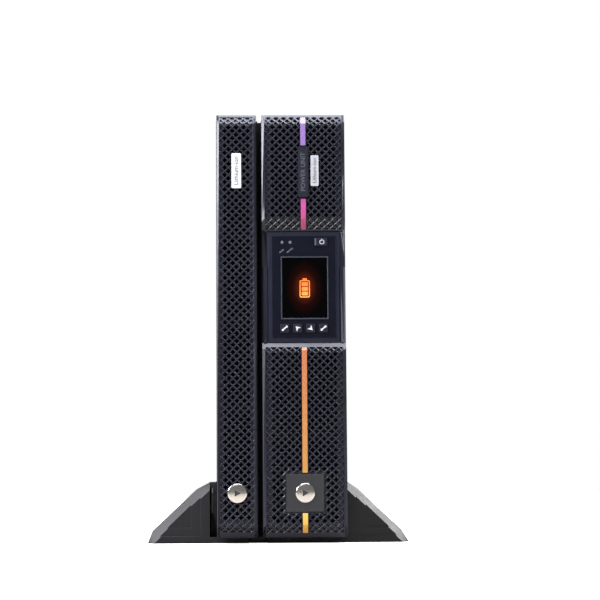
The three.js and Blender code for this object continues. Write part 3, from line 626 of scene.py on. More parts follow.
class Grille:
    """A closed plate of staggered diamond holes that follows a bezel's front surface.

    The diamonds fill bands of x, from margin_rows below the flat to margin_rows above it, with
    rows of them on the flat. first_shift says which rows are staggered.
    kind_of(x, t, share of a whole cell) says whether a cell is open, a blind pit or flat.
    """

    def __init__(self, front, half, bands, rows, first_shift, margin_rows, kind_of, groove=None, dish=None):
        self.front, self.half, self.bands = front, half, bands
        self.edge = bands[-1][1]
        self.row = front.flat / rows
        self.first_shift = first_shift
        self.t_low = -margin_rows[0] * self.row
        self.t_high = front.flat + margin_rows[1] * self.row
        self.kind_of, self.groove = kind_of, groove
        self.dish = dish or (lambda x, t: 0.0)
        self.bm = bmesh.new()
        self.shared = {}
        self.corner_depth = {}

    def key(self, x, t):
        return round(x, 3), round(t, 3)

    def shared_vert(self, x, t, depth):
        key = (*self.key(x, t), round(depth, 3))
        if key not in self.shared:
            self.shared[key] = self.bm.verts.new(self.front.point(x, t, depth))
        return self.shared[key]

    def top_vert(self, x, t):
        return self.shared_vert(x, t, self.corner_depth.get(self.key(x, t), 0.0))

    def cells(self):
        """Every diamond cut to its band, as (centre x, centre t, polygon)."""
        creases = (0.0, self.front.flat)
        lowest = math.floor(self.t_low / self.row) - 1
        highest = math.ceil(self.t_high / self.row) + 1
        reach = math.ceil(self.half / COLUMN_PITCH) + 1
        hx, ht = COLUMN_PITCH / 2, self.row
        for k in range(lowest, highest + 1):
            shift = 0.5 if (k + self.first_shift) % 2 else 0.0
            for i in range(-reach, reach + 1):
                cx, ct = (i + shift) * COLUMN_PITCH, k * self.row
                diamond = [(cx + hx, ct), (cx, ct + ht), (cx - hx, ct), (cx, ct - ht)]
                for x0, x1 in self.bands:
                    polygon = clipped(diamond, x0, x1, self.t_low, self.t_high)
                    if len(polygon) > 2 and area_of(polygon) > 1e-3:
                        yield cx, ct, with_creases(polygon, creases)

    def add_cell(self, cx, ct, polygon):
        kind = self.kind_of(cx, ct, area_of(polygon) / (COLUMN_PITCH * self.row))
        outer = [self.top_vert(*p) for p in polygon]
        back = [self.shared_vert(*p, WALL) for p in polygon]
        if kind == "flat":
            self.bm.faces.new(outer)
            self.bm.faces.new(back[::-1])
            return
        mx, mt = (sum(p[i] for p in polygon) / len(polygon) for i in (0, 1))
        rings = CELL_RINGS if kind == "open" else PIT_RINGS
        sunk = self.dish(cx, ct)
        if sunk:
            rings = [(s * DISH_RING_SHARE, min(DISH_DEEPEST, sunk + d * DISH_RING_DEPTH)) for s, d in rings]

        def ring_at(scale, depth):
            spots = [(mx + (x - mx) * scale, mt + (t - mt) * scale) for x, t in polygon]
            return [self.bm.verts.new(self.front.point(x, t, depth)) for x, t in spots]

        loops = [outer, *(ring_at(*ring) for ring in rings)]
        if kind == "open":
            loops += [ring_at(rings[-1][0], WALL), back]
        join_rings(self.bm, loops)
        if kind == "pit":
            self.bm.faces.new(loops[-1])
            self.bm.faces.new(back[::-1])

    def add_panel(self, x0, x1, t0, t1):
        """A plain quad of the front, with its back."""
        corners = [(x0, t0), (x1, t0), (x1, t1), (x0, t1)]
        self.bm.faces.new([self.top_vert(*p) for p in corners])
        self.bm.faces.new([self.shared_vert(*p, WALL) for p in reversed(corners)])

    def build(self):
        cells = list(self.cells())
        for cx, ct, polygon in cells:
            sunk = self.dish(cx, ct)
            for p in polygon:
                key = self.key(*p)
                self.corner_depth[key] = min(self.corner_depth.get(key, sunk), sunk)
        ends = (round(self.t_low, 3), round(self.t_high, 3))
        for x, t in self.corner_depth:
            if abs(abs(x) - self.edge) < 1e-3 or t in ends:
                self.corner_depth[x, t] = 0.0
        for cell in cells:
            self.add_cell(*cell)
        corners = {(round(x, 6), round(t, 6)) for _, _, polygon in cells for x, t in polygon}

        def heights_at(x):
            return sorted(t for px, t in corners if abs(px - x) < 1e-4)

        def spots_at(t):
            return sorted(x for x, pt in corners if abs(pt - t) < 1e-4)

        heights = heights_at(self.edge)
        for t0, t1 in zip(heights, heights[1:]):
            self.add_panel(self.edge, self.half, t0, t1)
            self.add_panel(-self.half, -self.edge, t0, t1)
        for line, far in ((self.t_low, self.front.bottom), (self.t_high, self.front.top)):
            spots = [-self.half, *spots_at(line), self.half]
            for x0, x1 in zip(spots, spots[1:]):
                self.add_panel(x0, x1, *sorted((line, far)))
        if self.groove:
            self.add_groove(heights_at(GROOVE_HALF))
        levels = [self.front.bottom, *heights, self.front.top]
        self.add_rim(levels, spots_at(self.t_low), spots_at(self.t_high))
        return self.bm

    def add_groove(self, heights):
        """The channel down the middle that the coloured strips lie in."""
        left, right = -GROOVE_HALF, GROOVE_HALF
        was_sunk = False
        for t0, t1 in zip(heights, heights[1:]):
            is_sunk = self.groove[0] < (t0 + t1) / 2 < self.groove[1]
            if is_sunk:
                corners = [(left, t0), (right, t0), (right, t1), (left, t1)]
                rim = [self.top_vert(*p) for p in corners]
                floor = [self.shared_vert(*p, GROOVE_DEPTH) for p in corners]
                self.bm.faces.new(floor)
                self.bm.faces.new([self.shared_vert(*p, WALL) for p in reversed(corners)])
                self.bm.faces.new((rim[0], floor[0], floor[3], rim[3]))
                self.bm.faces.new((rim[2], floor[2], floor[1], rim[1]))
            else:
                self.add_panel(left, right, t0, t1)
            if is_sunk != was_sunk:
                self.add_groove_end(t0)
            was_sunk = is_sunk
        if was_sunk:
            self.add_groove_end(heights[-1])

    def add_groove_end(self, t):
        """The step between the front and the channel's floor."""
        ends = [(-GROOVE_HALF, t), (GROOVE_HALF, t)]
        floor = [self.shared_vert(*p, GROOVE_DEPTH) for p in reversed(ends)]
        self.bm.faces.new([*(self.top_vert(*p) for p in ends), *floor])

    def add_rim(self, levels, low_spots, high_spots):
        """The plate's outer edge, all the way round."""
        right = [(self.half, t) for t in levels]
        left = [(-self.half, t) for t in reversed(levels)]
        high = [(x, levels[-1]) for x in reversed(high_spots)]
        low = [(x, levels[0]) for x in low_spots]
        loop = [*right, *high, *left, *low]
        for a, b in zip(loop, loop[1:] + loop[:1]):
            back = [self.shared_vert(*p, WALL) for p in (a, b)]
            self.bm.faces.new((self.top_vert(*a), *back, self.top_vert(*b)))


def cut_away(node, front, half):
    """The node's mesh without its front wall, which the grille plate takes the place of."""
    cutter_bm = bmesh.new()
    stops = [front.bottom, 0.0, front.flat, front.top]
    outline = [(t, -1.0) for t in stops] + [(t, WALL + 0.1) for t in reversed(stops)]
    add_prism(cutter_bm, outline, -half, half, lambda t, depth, x: front.point(x, t, depth))
    bmesh.ops.recalc_face_normals(cutter_bm, faces=cutter_bm.faces)
    made = []
    for bm in (welded(node), cutter_bm):
        mesh = bpy.data.meshes.new("working")
        bm.to_mesh(mesh)
        bm.free()
        made.append(link("working", mesh))
    base, cutter = made
    boolean = base.modifiers.new("cut", "BOOLEAN")
    boolean.operation = "DIFFERENCE"
    boolean.solver = "EXACT"
    boolean.object = cutter
    graph = bpy.context.evaluated_depsgraph_get()
    result = bmesh.new()
    result.from_mesh(base.evaluated_get(graph).to_mesh())
    for used in made:
        bpy.data.objects.remove(used)
    bmesh.ops.remove_doubles(result, verts=result.verts, dist=WELD)
    return result


def make_bezel(node, grille):
    """The bezel in two pieces: its shell, and the grille plate that fills the shell's front."""
    front, half = grille.front, grille.half
    bm = cut_away(node, front, half)
    ends = [front.point(0, t, 0) for t in (front.bottom, front.top)]

    def off_plate(edge):
        """Whether the edge is one that the grille plate doesn't meet."""
        spots = [v.co for v in edge.verts]
        on_side = all(abs(abs(p.x - front.origin.x) - half * MM) < NEAR for p in spots)
        return not on_side and not any(
            all(abs(p.y - end.y) < NEAR and abs(p.z - end.z) < NEAR for p in spots) for end in ends
        )

    round_edges(bm, 0.35, keep=off_plate, least_angle=30)
    node_piece("shell", bm, node, stands_for=[node])
    node_piece("grille", grille.build(), node, weighted=False)


# Each bevel is (height, depth) in mm.
TOP_BEVEL = (10.0, 7.5)
BOTTOM_BEVEL = (12.5, 7.5)
SHOULDER_BEVEL = (8.0, 6.0)
DISPLAY_GAP = 0.5
UPS_EDGE = 5 * COLUMN_PITCH
UPS_BANDS = [(-UPS_EDGE, -GROOVE_HALF), (GROOVE_HALF, UPS_EDGE)]
# The open cells lie this close to the middle, and a cell needs these shares of a whole one.
UPS_OPEN_HALF = 33
UPS_OPEN_SHARE = 0.42
UPS_PIT_SHARE = 0.2
BATTERY_EDGE = 17.4
BATTERY_OPEN_HALF = 14
BATTERY_PIT_SHARE = 0.12
DISH_HALF = 25.5
DISH_DEPTH = 1.2


def plate_half(node):
    """Half the width of a bezel's grille plate, which ends at the side bevels."""
    low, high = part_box(node)
    return (high.x - low.x) / MM / 2 - SIDE_BEVEL_WIDTH


# Both of the UPS's bezels are equally wide, and its upper one ends level with the battery's.
UPS_HALF = plate_half("upper_bezel")
BATTERY_HALF = plate_half("battery_bezel")
BEZEL_TOP = local(UPS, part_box("upper_bezel")[1]).z


def kind_on_ups(x, share, blind):
    """A sliver is plain, and a cut cell or one near the plate's sides is a pit."""
    if share < UPS_PIT_SHARE:
        return "flat"
    return "pit" if blind or abs(x) > UPS_OPEN_HALF or share < UPS_OPEN_SHARE else "open"


def make_upper_bezel():
    bottom = local(UPS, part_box("display_housing")[1]).z + DISPLAY_GAP
    front = Front(UPS, bottom, BEZEL_TOP, BOTTOM_BEVEL, TOP_BEVEL)

    def kind_of(x, t, share):
        return kind_on_ups(x, share, t < -9)

    strips_from = local(UPS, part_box("accent_strip_magenta")[0]).z
    groove = (strips_from - front.z_low - 2, front.flat + 10.2)
    make_bezel("upper_bezel", Grille(front, UPS_HALF, UPS_BANDS, 26, 1, (3.2, 2.6), kind_of, groove))


def make_lower_bezel():
    top = local(UPS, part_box("display_housing")[0]).z - DISPLAY_GAP
    front = Front(UPS, 0.0, top, BOTTOM_BEVEL, SHOULDER_BEVEL)
    badge_z = local(UPS, centre("ups_badge")).z

    def kind_of(x, t, share):
        past_corner = abs(x) - t > 28.5
        return kind_on_ups(x, share, t < -6 or past_corner)

    def dish(x, t):
        inside = abs(x) < DISH_HALF and abs(t + front.z_low - badge_z) < DISH_HALF
        return DISH_DEPTH if inside else 0.0

    groove = (-9.5, front.flat + 4)
    make_bezel("lower_bezel", Grille(front, UPS_HALF, UPS_BANDS, 47, 0, (2.6, 1.2), kind_of, groove, dish))


def make_battery_bezel():
    front = Front(BATTERY, 0.0, BEZEL_TOP, BOTTOM_BEVEL, TOP_BEVEL)

    def kind_of(x, t, share):
        if share < BATTERY_PIT_SHARE:
            return "flat"
        return "open" if abs(x) < BATTERY_OPEN_HALF and 7 < t < front.flat - 1 else "pit"

    bands = [(-BATTERY_EDGE, BATTERY_EDGE)]
    make_bezel("battery_bezel", Grille(front, BATTERY_HALF, bands, 108, 1, (2.3, 2.6), kind_of))


make_upper_bezel()
make_lower_bezel()
make_battery_bezel()

# Display module ----------

DISPLAY_FACE = local(UPS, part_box("display_fascia")[0]).y
KEY_FACE = local(UPS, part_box("escape_key")[0]).y
GLASS_FACE = local(UPS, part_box("lcd_screen")[0]).y
# How far printed marks stand out.
PRINT = 0.12

ARROWHEAD = [(-1.9, -2.9), (3.0, 0.0), (-1.9, 2.9), (-0.5, 0.0)]
# Outline and turn in degrees.
KEY_SYMBOLS = {
    "escape_key": (dumbbell(7.4, 1.1), 40),
    "up_key": (ARROWHEAD, 135),
    "down_key": (ARROWHEAD, -45),
    "enter_key": (dumbbell(7.4, 1.1), 40),
}
# How far a lamp's mark lies below it, and the mark's length.
LAMP_MARKS = {"run_lamp": (8.9, 5.4), "fault_lamp": (8.2, 7.4)}


def make_key_symbols():
    def mark(key, suffix, material, *outlines):
        prisms(f"{key}.{suffix}", material, key, UPS, KEY_FACE - PRINT, KEY_FACE, *outlines)

    for key, (outline, angle) in KEY_SYMBOLS.items():
        spot = local(UPS, centre(key))
        mark(key, "symbol", MARKING, moved(outline, spot.x, spot.z, angle))
    spot = local(UPS, centre("power_button"))
    ring = moved(arc(2.5, 120, 420) + arc(1.85, 120, 420)[::-1], spot.x + 1, spot.z)
    stem = moved(rounded(0.65, 2.4, 0.2), spot.x + 1, spot.z + 2.1)
    mark("power_button", "symbol", MARKING, ring, stem)
    mark("power_button", "bar", DIM_MARKING, moved(rounded(1.2, 6.8, 0.3), spot.x - 5.5, spot.z))


def make_lamp_marks():
    marks = []
    for lamp, (drop, length) in LAMP_MARKS.items():
        spot = local(UPS, centre(lamp))
        marks.append(moved(dumbbell(length, 0.85), spot.x - 0.7, spot.z - drop, 38))
    name = "display_fascia.marks"
    prisms(name, DIM_MARKING, "enclosure", UPS, DISPLAY_FACE - PRINT, DISPLAY_FACE, *marks)


def make_lamps():
    for lamp in LAMP_MARKS:
        low, high, middle = span(UPS, lamp)
        radius, depth = (high.x - low.x) / 2, high.y - low.y
        dome = [(0, 0), (radius * 0.7, 0.12), (radius, 0.5), (radius, depth), (0, depth)]
        bm = bmesh.new()
        add_lathe(bm, dome, place(UPS, middle.x, low.y, middle.z), (0, 1, 0), 20)
        node_piece("lens", bm, lamp, stands_for=[lamp])


def make_screen_symbol():
    """A generic battery outline with three charge bars."""
    middle = local(UPS, centre("lcd_screen"))
    depths = (GLASS_FACE - PRINT, GLASS_FACE)
    bm = bmesh.new()
    sizes = (10.4, 17.6, 1.8), (8.4, 15.6, 1.1)
    outer, inner = (moved(rounded(*size), middle.x, middle.z - 1) for size in sizes)
    add_ring(bm, UPS, outer, inner, *depths)
    front_prism(bm, UPS, moved(rounded(4.2, 1.8, 0.4), middle.x, middle.z + 8.8), *depths)
    for i in range(3):
        front_prism(bm, UPS, moved(rounded(6.2, 3.8, 0.6), middle.x, middle.z - 5.8 + i * 4.8), *depths)
    piece("lcd_screen.symbol", bm, GLOW, "enclosure")


# Badges, labels and plates ----------

# Shares of the badge's radius at which its dished face has a ring.
DISC_RINGS = (0, 0.15, 0.3, 0.45, 0.6, 0.75, 0.88)
DISC_RISE = 0.65
DISC_BACK = 1.7
SHAFT_RADIUS = 3.0
HEAD_RADIUS = 4.5
POINTER = [(-2.6, -3.4), (3.4, 0), (-2.6, 3.4)]
PLATE_BACK = -0.02
# Unit, front face, corner radius, lettering, its size and its ink.
PLATES = {
    "name_plate": (UPS, -1.2, 1.0, "POWER UNIT", 6.6, DIM_MARKING),
    "ups_label": (UPS, -0.6, 1.2, "Lithium-ion", 5.6, LABEL_INK),
    "battery_label": (BATTERY, -0.6, 1.2, "Lithium-ion", 6.4, LABEL_INK),
}


def make_badge(node, origin):
    """A domed disc with a rim, on a shaft that snaps into the bezel, and its printed pointer."""
    low, high, middle = span(origin, node)
    face, radius = low.y, (high.x - low.x) / 2
    profile = [
        *((radius * s, face + PRINT + DISC_RISE * s * s) for s in DISC_RINGS),
        (radius * 0.96, face + 0.85),
        (radius, face + 1.15),
        (radius, face + DISC_BACK),
        (SHAFT_RADIUS, face + DISC_BACK),
        (SHAFT_RADIUS, 4.6),
        (HEAD_RADIUS, 4.8),
        (3.9, high.y),
        (0, high.y),
    ]
    bm = bmesh.new()
    add_lathe(bm, profile, place(origin, middle.x, 0, middle.z), (0, 1, 0), 64)
    node_piece("disc", bm, node, stands_for=[node])
    bm = bmesh.new()
    front_prism(bm, origin, moved(POINTER, middle.x, middle.z), face, face + 0.4)
    round_edges(bm, 0.05, 1)
    piece(f"{node}.pointer", bm, POINTER_INK, node)


def make_plate(node, origin, face, corner):
    low, high, middle = span(origin, node)
    bm = bmesh.new()
    outline = moved(rounded(high.x - low.x, high.z - low.z, corner), middle.x, middle.z)
    front_prism(bm, origin, outline, face, PLATE_BACK)
    round_edges(bm, 0.12, 1)
    node_piece("plate", bm, node, stands_for=[node])


def make_lettering(node, origin, face, text, size, material):
    """Raised lettering that reads upwards, in the middle of a plate whose front is at face."""
    curve = bpy.data.curves.new("working", "FONT")
    curve.body = text
    curve.size = size * MM
    curve.extrude = PRINT / 2 * MM
    curve.resolution_u = 3
    curve.align_x, curve.align_y = "CENTER", "CENTER"
    carrier = link("working", curve)
    graph = bpy.context.evaluated_depsgraph_get()
    bm = bmesh.new()
    bm.from_mesh(carrier.evaluated_get(graph).to_mesh())
    bpy.data.objects.remove(carrier)
    bmesh.ops.remove_doubles(bm, verts=bm.verts, dist=WELD / 10)
    middle = local(origin, centre(node))
    for vert in bm.verts:
        across, along, out = vert.co / MM
        vert.co = place(origin, middle.x - along, face - PRINT / 2 - out, middle.z + across)
    piece(f"{node}.text", bm, material, "enclosure", weighted=False)


# Rear panels ----------

PANEL = local(UPS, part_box("ups_rear_panel")[1]).y
GUARD_WIRE_RADIUS = 0.75
GUARD_RINGS = (12, 20, 28, 36)
GUARD_CORNER = 35.7
# Across, up, width and height of each port.
PORTS = [(17, 245, 15, 13), (17, 228, 15, 13), (17, 211, 13, 12), (17, 196, 18, 9)]
CARD_PLATE = 1.8
CARD_MARGIN = 8
# Across and up from the card's middle, thickness, height, and the distances ahead of the panel.
CARD_CHIPS = (
    (2.85, 12, 4.3, 22.2, 70.1, 39.9),
    (2.35, -16, 3.3, 14.2, 90.1, 75.9),
    (1.6, 12, 1.6, 9, 90, 79),
    (1.6, -14, 1.6, 12, 58, 42),
    (1.6, -6, 1.6, 5, 34, 29),
    (1.6, -15, 1.6, 5, 34, 29),
)
# Distance ahead of the panel, and up from the card's middle.
CARD_CANS = ((20, 20), (20, 12), (28, 20))
CABLE_ENTRIES = (34, 86)
COVER_SCREWS = (30, 92)
# A grommet's section: radius, and distance behind the terminal cover's back.
GROMMET = [(10.6, -2.6), (12.0, -2.6), (12.0, -1.25), (13.6, -1.25), (13.6, -0.05), (10.6, -0.05)]
LOUVRE_HALF = 12.9
LOUVRE_PITCH = 6.0
# The lowest slat of each opening in the battery module's rear panel.
LOUVRE_STARTS = (187, 261, 335)


def make_screws(name, spots, along, material, radius=2.8, height=1.6):
    """Pan heads with a round driver recess."""
    profile = [
        (0, height * 0.35),
        (radius * 0.34, height * 0.35),
        (radius * 0.44, height),
        (radius * 0.75, height * 0.88),
        (radius, height * 0.35),
        (radius, 0),
        (0, 0),
    ]
    bm = bmesh.new()
    for at in spots:
        add_lathe(bm, profile, at, along, 18)
    piece(name, bm, material, "enclosure")


def make_fan_guard(node):
    low, high, middle = span(UPS, node)
    ring_y, spoke_y = low.y + GUARD_WIRE_RADIUS, high.y - GUARD_WIRE_RADIUS
    corners = [(sx * GUARD_CORNER, sz * GUARD_CORNER) for sx in (-1, 1) for sz in (-1, 1)]
    bm = bmesh.new()
    for radius in GUARD_RINGS:
        ring = circle_xz(place(UPS, middle.x, ring_y, middle.z), radius, 48)
        add_tube(bm, ring, GUARD_WIRE_RADIUS, closed=True)
    for ends in (corners[::3], corners[1:3]):
        spoke = [place(UPS, middle.x + x, spoke_y, middle.z + z) for x, z in ends]
        add_tube(bm, spoke, GUARD_WIRE_RADIUS)
    node_piece("wires", bm, node, stands_for=[node])
    spots = [place(UPS, middle.x + x, high.y - 0.1, middle.z + z) for x, z in corners]
    make_screws(f"{node}.screws", spots, (0, 1, 0), BLACK_SCREW)


def make_port_details():
    """Metal shields around the data ports, and contacts inside them."""
    back = local(UPS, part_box("port_block")[1]).y
    shields = bmesh.new()
    contacts = []
    for x, z, width, height in PORTS:
        outer, inner = (moved(sharp(width - rim, height - rim), x, z) for rim in (0, 1))
        add_ring(shields, UPS, outer, inner, back - 6, back + 0.3)
        for i in range(6):
            contacts.append(moved(rounded(0.6, 0.6, 0.1), x + (i - 2.5) * 1.5, z - height / 2 + 1.4))
    piece("port_block.shields", shields, LOOKS["guard_wire"], "enclosure")
    prisms("port_block.contacts", GOLD, "enclosure", UPS, back - 11, back - 3, *contacts)


def make_connector_contacts(node, origin):
    low, high, middle = span(origin, node)
    spread = (high.x - low.x) / 4 - 0.5
    blades = [moved(rounded(8, 2.4, 0.6), middle.x + side * spread, middle.z) for side in (-1, 1)]
    prisms(f"{node}.blades", GOLD, "enclosure", origin, PANEL - 6, high.y - 7, *blades)


def make_card_details():
    """Sockets and lamps on the card's plate, and a green board with its parts behind the plate."""
    node = "network_card"
    low, high, middle = span(UPS, node)
    x, z = middle.x, middle.z
    face = PANEL + CARD_PLATE
    bm = bmesh.new()
    add_ring(bm, UPS, *(moved(sharp(16 - rim, 13.5 - rim), x, z + 6) for rim in (0, 1.4)), face, face + 1.2)
    piece(f"{node}.jack", bm, LOOKS["guard_wire"], node)
    bm = bmesh.new()
    front_prism(bm, UPS, moved(rounded(14, 11.5, 0.6), x, z + 6), face, face + 0.3)
    front_prism(bm, UPS, moved(rounded(9, 4, 0.5), x, z - 12), face, face + 0.5)
    piece(f"{node}.sockets", bm, RUBBER, node)
    lamps = [moved(arc(0.9, 0, 330, 11), x + side * 4, z - 3.5) for side in (-1, 1)]
    prisms(f"{node}.lights", LOOKS["lamp_lens"], node, UPS, face, face + 0.35, *lamps)

    # The board and the two large chips close round the card's own plain slabs.
    board = moved(rounded(1.9, high.z - low.z - CARD_MARGIN + 0.2, 0.1), x, z)
    prisms(f"{node}.board", LOOKS["circuit_board"], node, UPS, low.y - 0.1, PANEL + 0.2, board)
    bm = bmesh.new()
    for across, up, thickness, height, front, back in CARD_CHIPS:
        outline = moved(rounded(thickness, height, 0.2), x + across, z + up)
        front_prism(bm, UPS, outline, PANEL - front, PANEL - back)
    piece(f"{node}.chips", bm, RUBBER, node)
    bm = bmesh.new()
    for ahead, up in CARD_CANS:
        can = [(0, 0.9), (2.6, 0.9), (2.6, 5.0), (2.3, 5.3), (0, 5.3)]
        add_lathe(bm, can, place(UPS, x, PANEL - ahead, z + up), (1, 0, 0), 20)
    piece(f"{node}.capacitors", bm, LOOKS["guard_wire"], node)
    fingers = [moved(rounded(2.0, 1.6, 0.1), x, z + (i - 6.5) * 2.6) for i in range(14)]
    prisms(f"{node}.fingers", GOLD, node, UPS, low.y + 0.3, low.y + 6, *fingers)


def make_terminal_details():
    """Cable grommets and screws on the terminal cover."""
    low, high, middle = span(UPS, "terminal_cover")
    bm = bmesh.new()
    for z in CABLE_ENTRIES:
        at = place(UPS, middle.x, high.y, z)
        rings = [circle_xz(at + Vector((0, height * MM, 0)), radius, 36) for radius, height in GROMMET]
        join_rings(bm, [[bm.verts.new(p) for p in ring] for ring in rings], closed=True)
    piece("terminal_cover.grommets", bm, RUBBER, "enclosure")
    for side, edge, way in (("right", high.x, 1), ("left", low.x, -1)):
        spots = [place(UPS, edge, high.y - 8, z) for z in COVER_SCREWS]
        make_screws(f"terminal_cover.{side}_screws", spots, (way, 0, 0), ZINC)


def make_battery_louvres():
    """Slats across the three openings in the battery module's rear panel."""
    bm = bmesh.new()
    for start in LOUVRE_STARTS:
        for i in range(11):
            z = start + i * LOUVRE_PITCH
            profile = [(-0.9, z - 1.9), (-0.2, z - 1.9), (0.0, z + 1.4), (-0.9, z + 0.6)]
            add_prism(bm, profile, -LOUVRE_HALF, LOUVRE_HALF, lambda y, h, x: place(BATTERY, x, PANEL + y, h))
    piece("battery_rear_panel.slats", bm, LOOKS["case_paint"], "enclosure", "case_paint")


# Cases ----------


def make_filters():
    """Dust filters of dark foam behind the air windows in the case fronts."""
    front = local(UPS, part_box("ups_chassis")[0]).y + 1.4
    for name, origin, half, z0, z1 in (
        ("ups_lower_filter", UPS, 36, 16, 190),
        ("ups_upper_filter", UPS, 36, 328, 417),
        ("battery_filter", BATTERY, 14.8, 30, 406),
    ):
        outline = moved(rounded(2 * half, z1 - z0, 3), 0, (z0 + z1) / 2)
        prisms(name, FOAM, "enclosure", origin, front, front + 3, outline)


def make_gap_strips():
    """Foam strips stuck to the battery module's cover, which keep the two units apart."""
    low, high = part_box("battery_cover")
    left, right = high.x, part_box("ups_chassis")[0].x
    for name, y in (("front_gap_strip", low.y + 0.004), ("rear_gap_strip", high.y - 0.018)):
        bm = bmesh.new()
        corners = [(left, y), (right, y), (right, y + 0.012), (left, y + 0.012)]
        add_prism(bm, corners, low.z + 0.001, high.z - 0.001, lambda x, y, z: Vector((x, y, z)))
        round_edges(bm, 0.3)
        piece(name, bm, FOAM, "enclosure")


def make_case_screws():
    """Screws along the covers' broad sides, and at the corners of the rear panels."""
    for node, origin, edge, way in (("ups_cover", UPS, 1, 1), ("battery_chassis", BATTERY, 0, -1)):
        face = local(origin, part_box(node)[edge]).x
        spots = [place(origin, face, y, z) for y in (60, 530) for z in (24, 215, 406)]
        make_screws(f"{node}.screws", spots, (way, 0, 0), BLACK_SCREW, radius=2.6, height=0.28)
    for node, origin, half, heights in (
        ("ups_rear_panel", UPS, 38, (7, 125, 255, 341, 423)),
        ("battery_rear_panel", BATTERY, 16.4, (8, 150, 423)),
    ):
        spots = [place(origin, side * half, PANEL, z) for side in (-1, 1) for z in heights]
        make_screws(f"{node}.screws", spots, (0, 1, 0), ZINC, radius=2.3, height=1.3)


for fan in ("lower_fan_guard", "upper_fan_guard"):
    make_fan_guard(fan)
make_key_symbols()
make_lamp_marks()
make_lamps()
make_screen_symbol()
make_badge("ups_badge", UPS)
make_badge("battery_badge", BATTERY)
for node, (origin, face, corner, *_) in PLATES.items():
    make_plate(node, origin, face, corner)
for node, (origin, face, _, *lettering) in PLATES.items():
    make_lettering(node, origin, face, *lettering)
make_port_details()
make_connector_contacts("battery_inlet", UPS)
make_connector_contacts("battery_outlet", BATTERY)
make_card_details()
make_terminal_details()
make_battery_louvres()
make_filters()
make_gap_strips()
make_case_screws()

# Every other node keeps its own shape with its edges rounded, by this many mm or by 0.25.
EDGE_ROUNDING = {
    1.5: ("lower_cell_block", "upper_cell_block"),
    0.8: ("lower_fan_frame", "upper_fan_frame"),
    0.7: (
        "front_left_foot", "front_right_foot", "rear_left_foot", "rear_right_foot",
        "input_breaker_toggle", "battery_breaker_toggle",
    ),
    0.6: ("battery_inlet", "battery_outlet", "input_breaker", "battery_breaker"),
    0.5: ("front_spacer", "rear_spacer"),
    0.4: ("terminal_block", "terminal_cover"),
    0.35: ("display_housing",),
    0.3: ("escape_key", "up_key", "down_key", "enter_key", "power_button", "badge_plate", "port_block"),
    0.2: ("display_fascia", "screen_frame"),
}
ROUNDING_OF = {node: width for width, nodes in EDGE_ROUNDING.items() for node in nodes}
REPLACED = {
    "upper_bezel", "lower_bezel", "battery_bezel", "lower_fan_guard", "upper_fan_guard",
    "ups_badge", "battery_badge", *LAMP_MARKS, *PLATES,
}
for node, made in NODES.items():
    if node not in REPLACED:
        refine(node, ROUNDING_OF.get(node, 0.25))
    made.data.materials.clear()
    made.data.materials.append(look_of(node))

# Stage, light and camera ----------

FLOOR_HALF = 3.0


def show_camera(tree, seen, lit, output):
    """Gives the camera one shader, and the light in the scene another."""
    path = tree.nodes.new("ShaderNodeLightPath")
    mix = tree.nodes.new("ShaderNodeMixShader")
    tree.links.new(path.outputs["Is Camera Ray"], mix.inputs["Fac"])
    tree.links.new(lit.outputs[0], mix.inputs[1])
    tree.links.new(seen.outputs[0], mix.inputs[2])
    tree.links.new(mix.outputs["Shader"], tree.nodes[output].inputs["Surface"])


def make_stage():
    """A floor that the camera sees as white, and that sends little light back up."""
    bm = bmesh.new()
    bm.faces.new([bm.verts.new((x, y, cad_box[0].z)) for x, y in sharp(2 * FLOOR_HALF, 2 * FLOOR_HALF)])
    mesh = bpy.data.meshes.new("floor")
    bm.to_mesh(mesh)
    bm.free()
    floor = link("floor", mesh)
    paint = Finish("floor_paint", (0.86, 0.86, 0.86), 0.9)
    paint.shader.inputs["Emission Color"].default_value = (1, 1, 1, 1)
    paint.shader.inputs["Emission Strength"].default_value = 0.9
    dim = paint.node("ShaderNodeBsdfDiffuse")
    dim.inputs["Color"].default_value = (0.33, 0.31, 0.29, 1)
    show_camera(paint.material.node_tree, paint.shader, dim, "Material Output")
    mesh.materials.append(paint.material)


def make_world():
    """White where the camera sees it, and dim grey as a light."""
    world = bpy.data.worlds.new("studio")
    bpy.context.scene.world = world
    world.use_nodes = True
    tree = world.node_tree
    backdrop = tree.nodes["Background"]
    backdrop.inputs["Color"].default_value = (1, 1, 1, 1)
    fill = tree.nodes.new("ShaderNodeBackground")
    fill.inputs["Color"].default_value = (0.95, 0.97, 1, 1)
    fill.inputs["Strength"].default_value = 0.16
    show_camera(tree, backdrop, fill, "World Output")


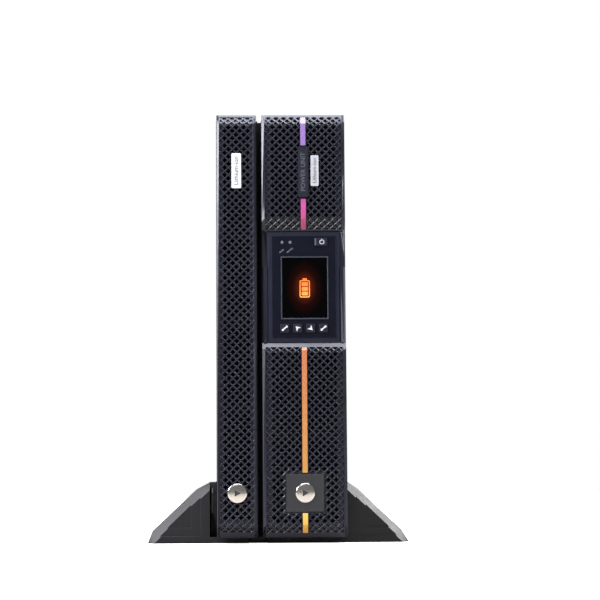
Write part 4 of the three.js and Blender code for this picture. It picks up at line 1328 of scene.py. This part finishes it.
def softbox(name, at, target, width, height, radiance, color=(1, 1, 1)):
    light = bpy.data.lights.new(name, "AREA")
    light.shape = "RECTANGLE"
    light.size, light.size_y = width, height
    light.energy = radiance * math.pi * width * height
    light.color = color
    lamp = link(name, light)
    lamp.location = at
    lamp.rotation_euler = (Vector(target) - Vector(at)).to_track_quat("-Z", "Y").to_euler()


def make_camera(at, lens, heading, tilt, roll):
    """A long lens, tilted up a little. Angles are in degrees, and heading 0 looks along +Y."""
    data = bpy.data.cameras.new("camera")
    data.sensor_width = 36
    data.lens = lens
    camera = link("camera", data)
    camera.location = at
    turns = (heading, "Z"), (90 + tilt, "X"), (roll, "Z")
    heading_turn, tilt_turn, roll_turn = (Matrix.Rotation(math.radians(a), 3, axis) for a, axis in turns)
    camera.rotation_euler = (heading_turn @ tilt_turn @ roll_turn).to_euler()
    bpy.context.scene.camera = camera


make_stage()
make_world()
COOL = (0.95, 0.95, 1.05)
softbox("overhead", (0.0, -0.42, 1.6), (0, -0.42, 0), 1.6, 1.1, 9.0, (0.93, 0.96, 1.06))
softbox("left_low", (-1.5, -0.3, 0.4), (0, -0.25, 0.25), 0.6, 1.0, 7.0, COOL)
softbox("left_high", (-1.35, -0.96, 0.84), (0, -0.28, 0.35), 0.6, 0.62, 30.0, COOL)
softbox("right_ridge", (1.3, -0.1, 1.3), (0.1, -0.25, 0.03), 0.8, 0.8, 24.0)
softbox("left_ridge", (-1.3, -0.1, 1.3), (-0.1, -0.25, 0.03), 0.8, 0.8, 5.0)
softbox("right_side", (1.6, -0.1, 0.4), (0, -0.1, 0.2), 0.8, 1.0, 2.0)
softbox("front_fill", (-0.5, -2.6, 1.3), (0, -0.3, 0.25), 0.9, 0.6, 2.0)
softbox("behind", (0.3, 1.9, 1.0), (0, 0.2, 0.2), 1.4, 1.2, 2.5)
make_camera((-0.018, UPS.y - 1.8, 0.075), lens=107.15, heading=-1.292, tilt=5.4, roll=-0.38)
bpy.context.scene.view_settings.view_transform = "Standard"
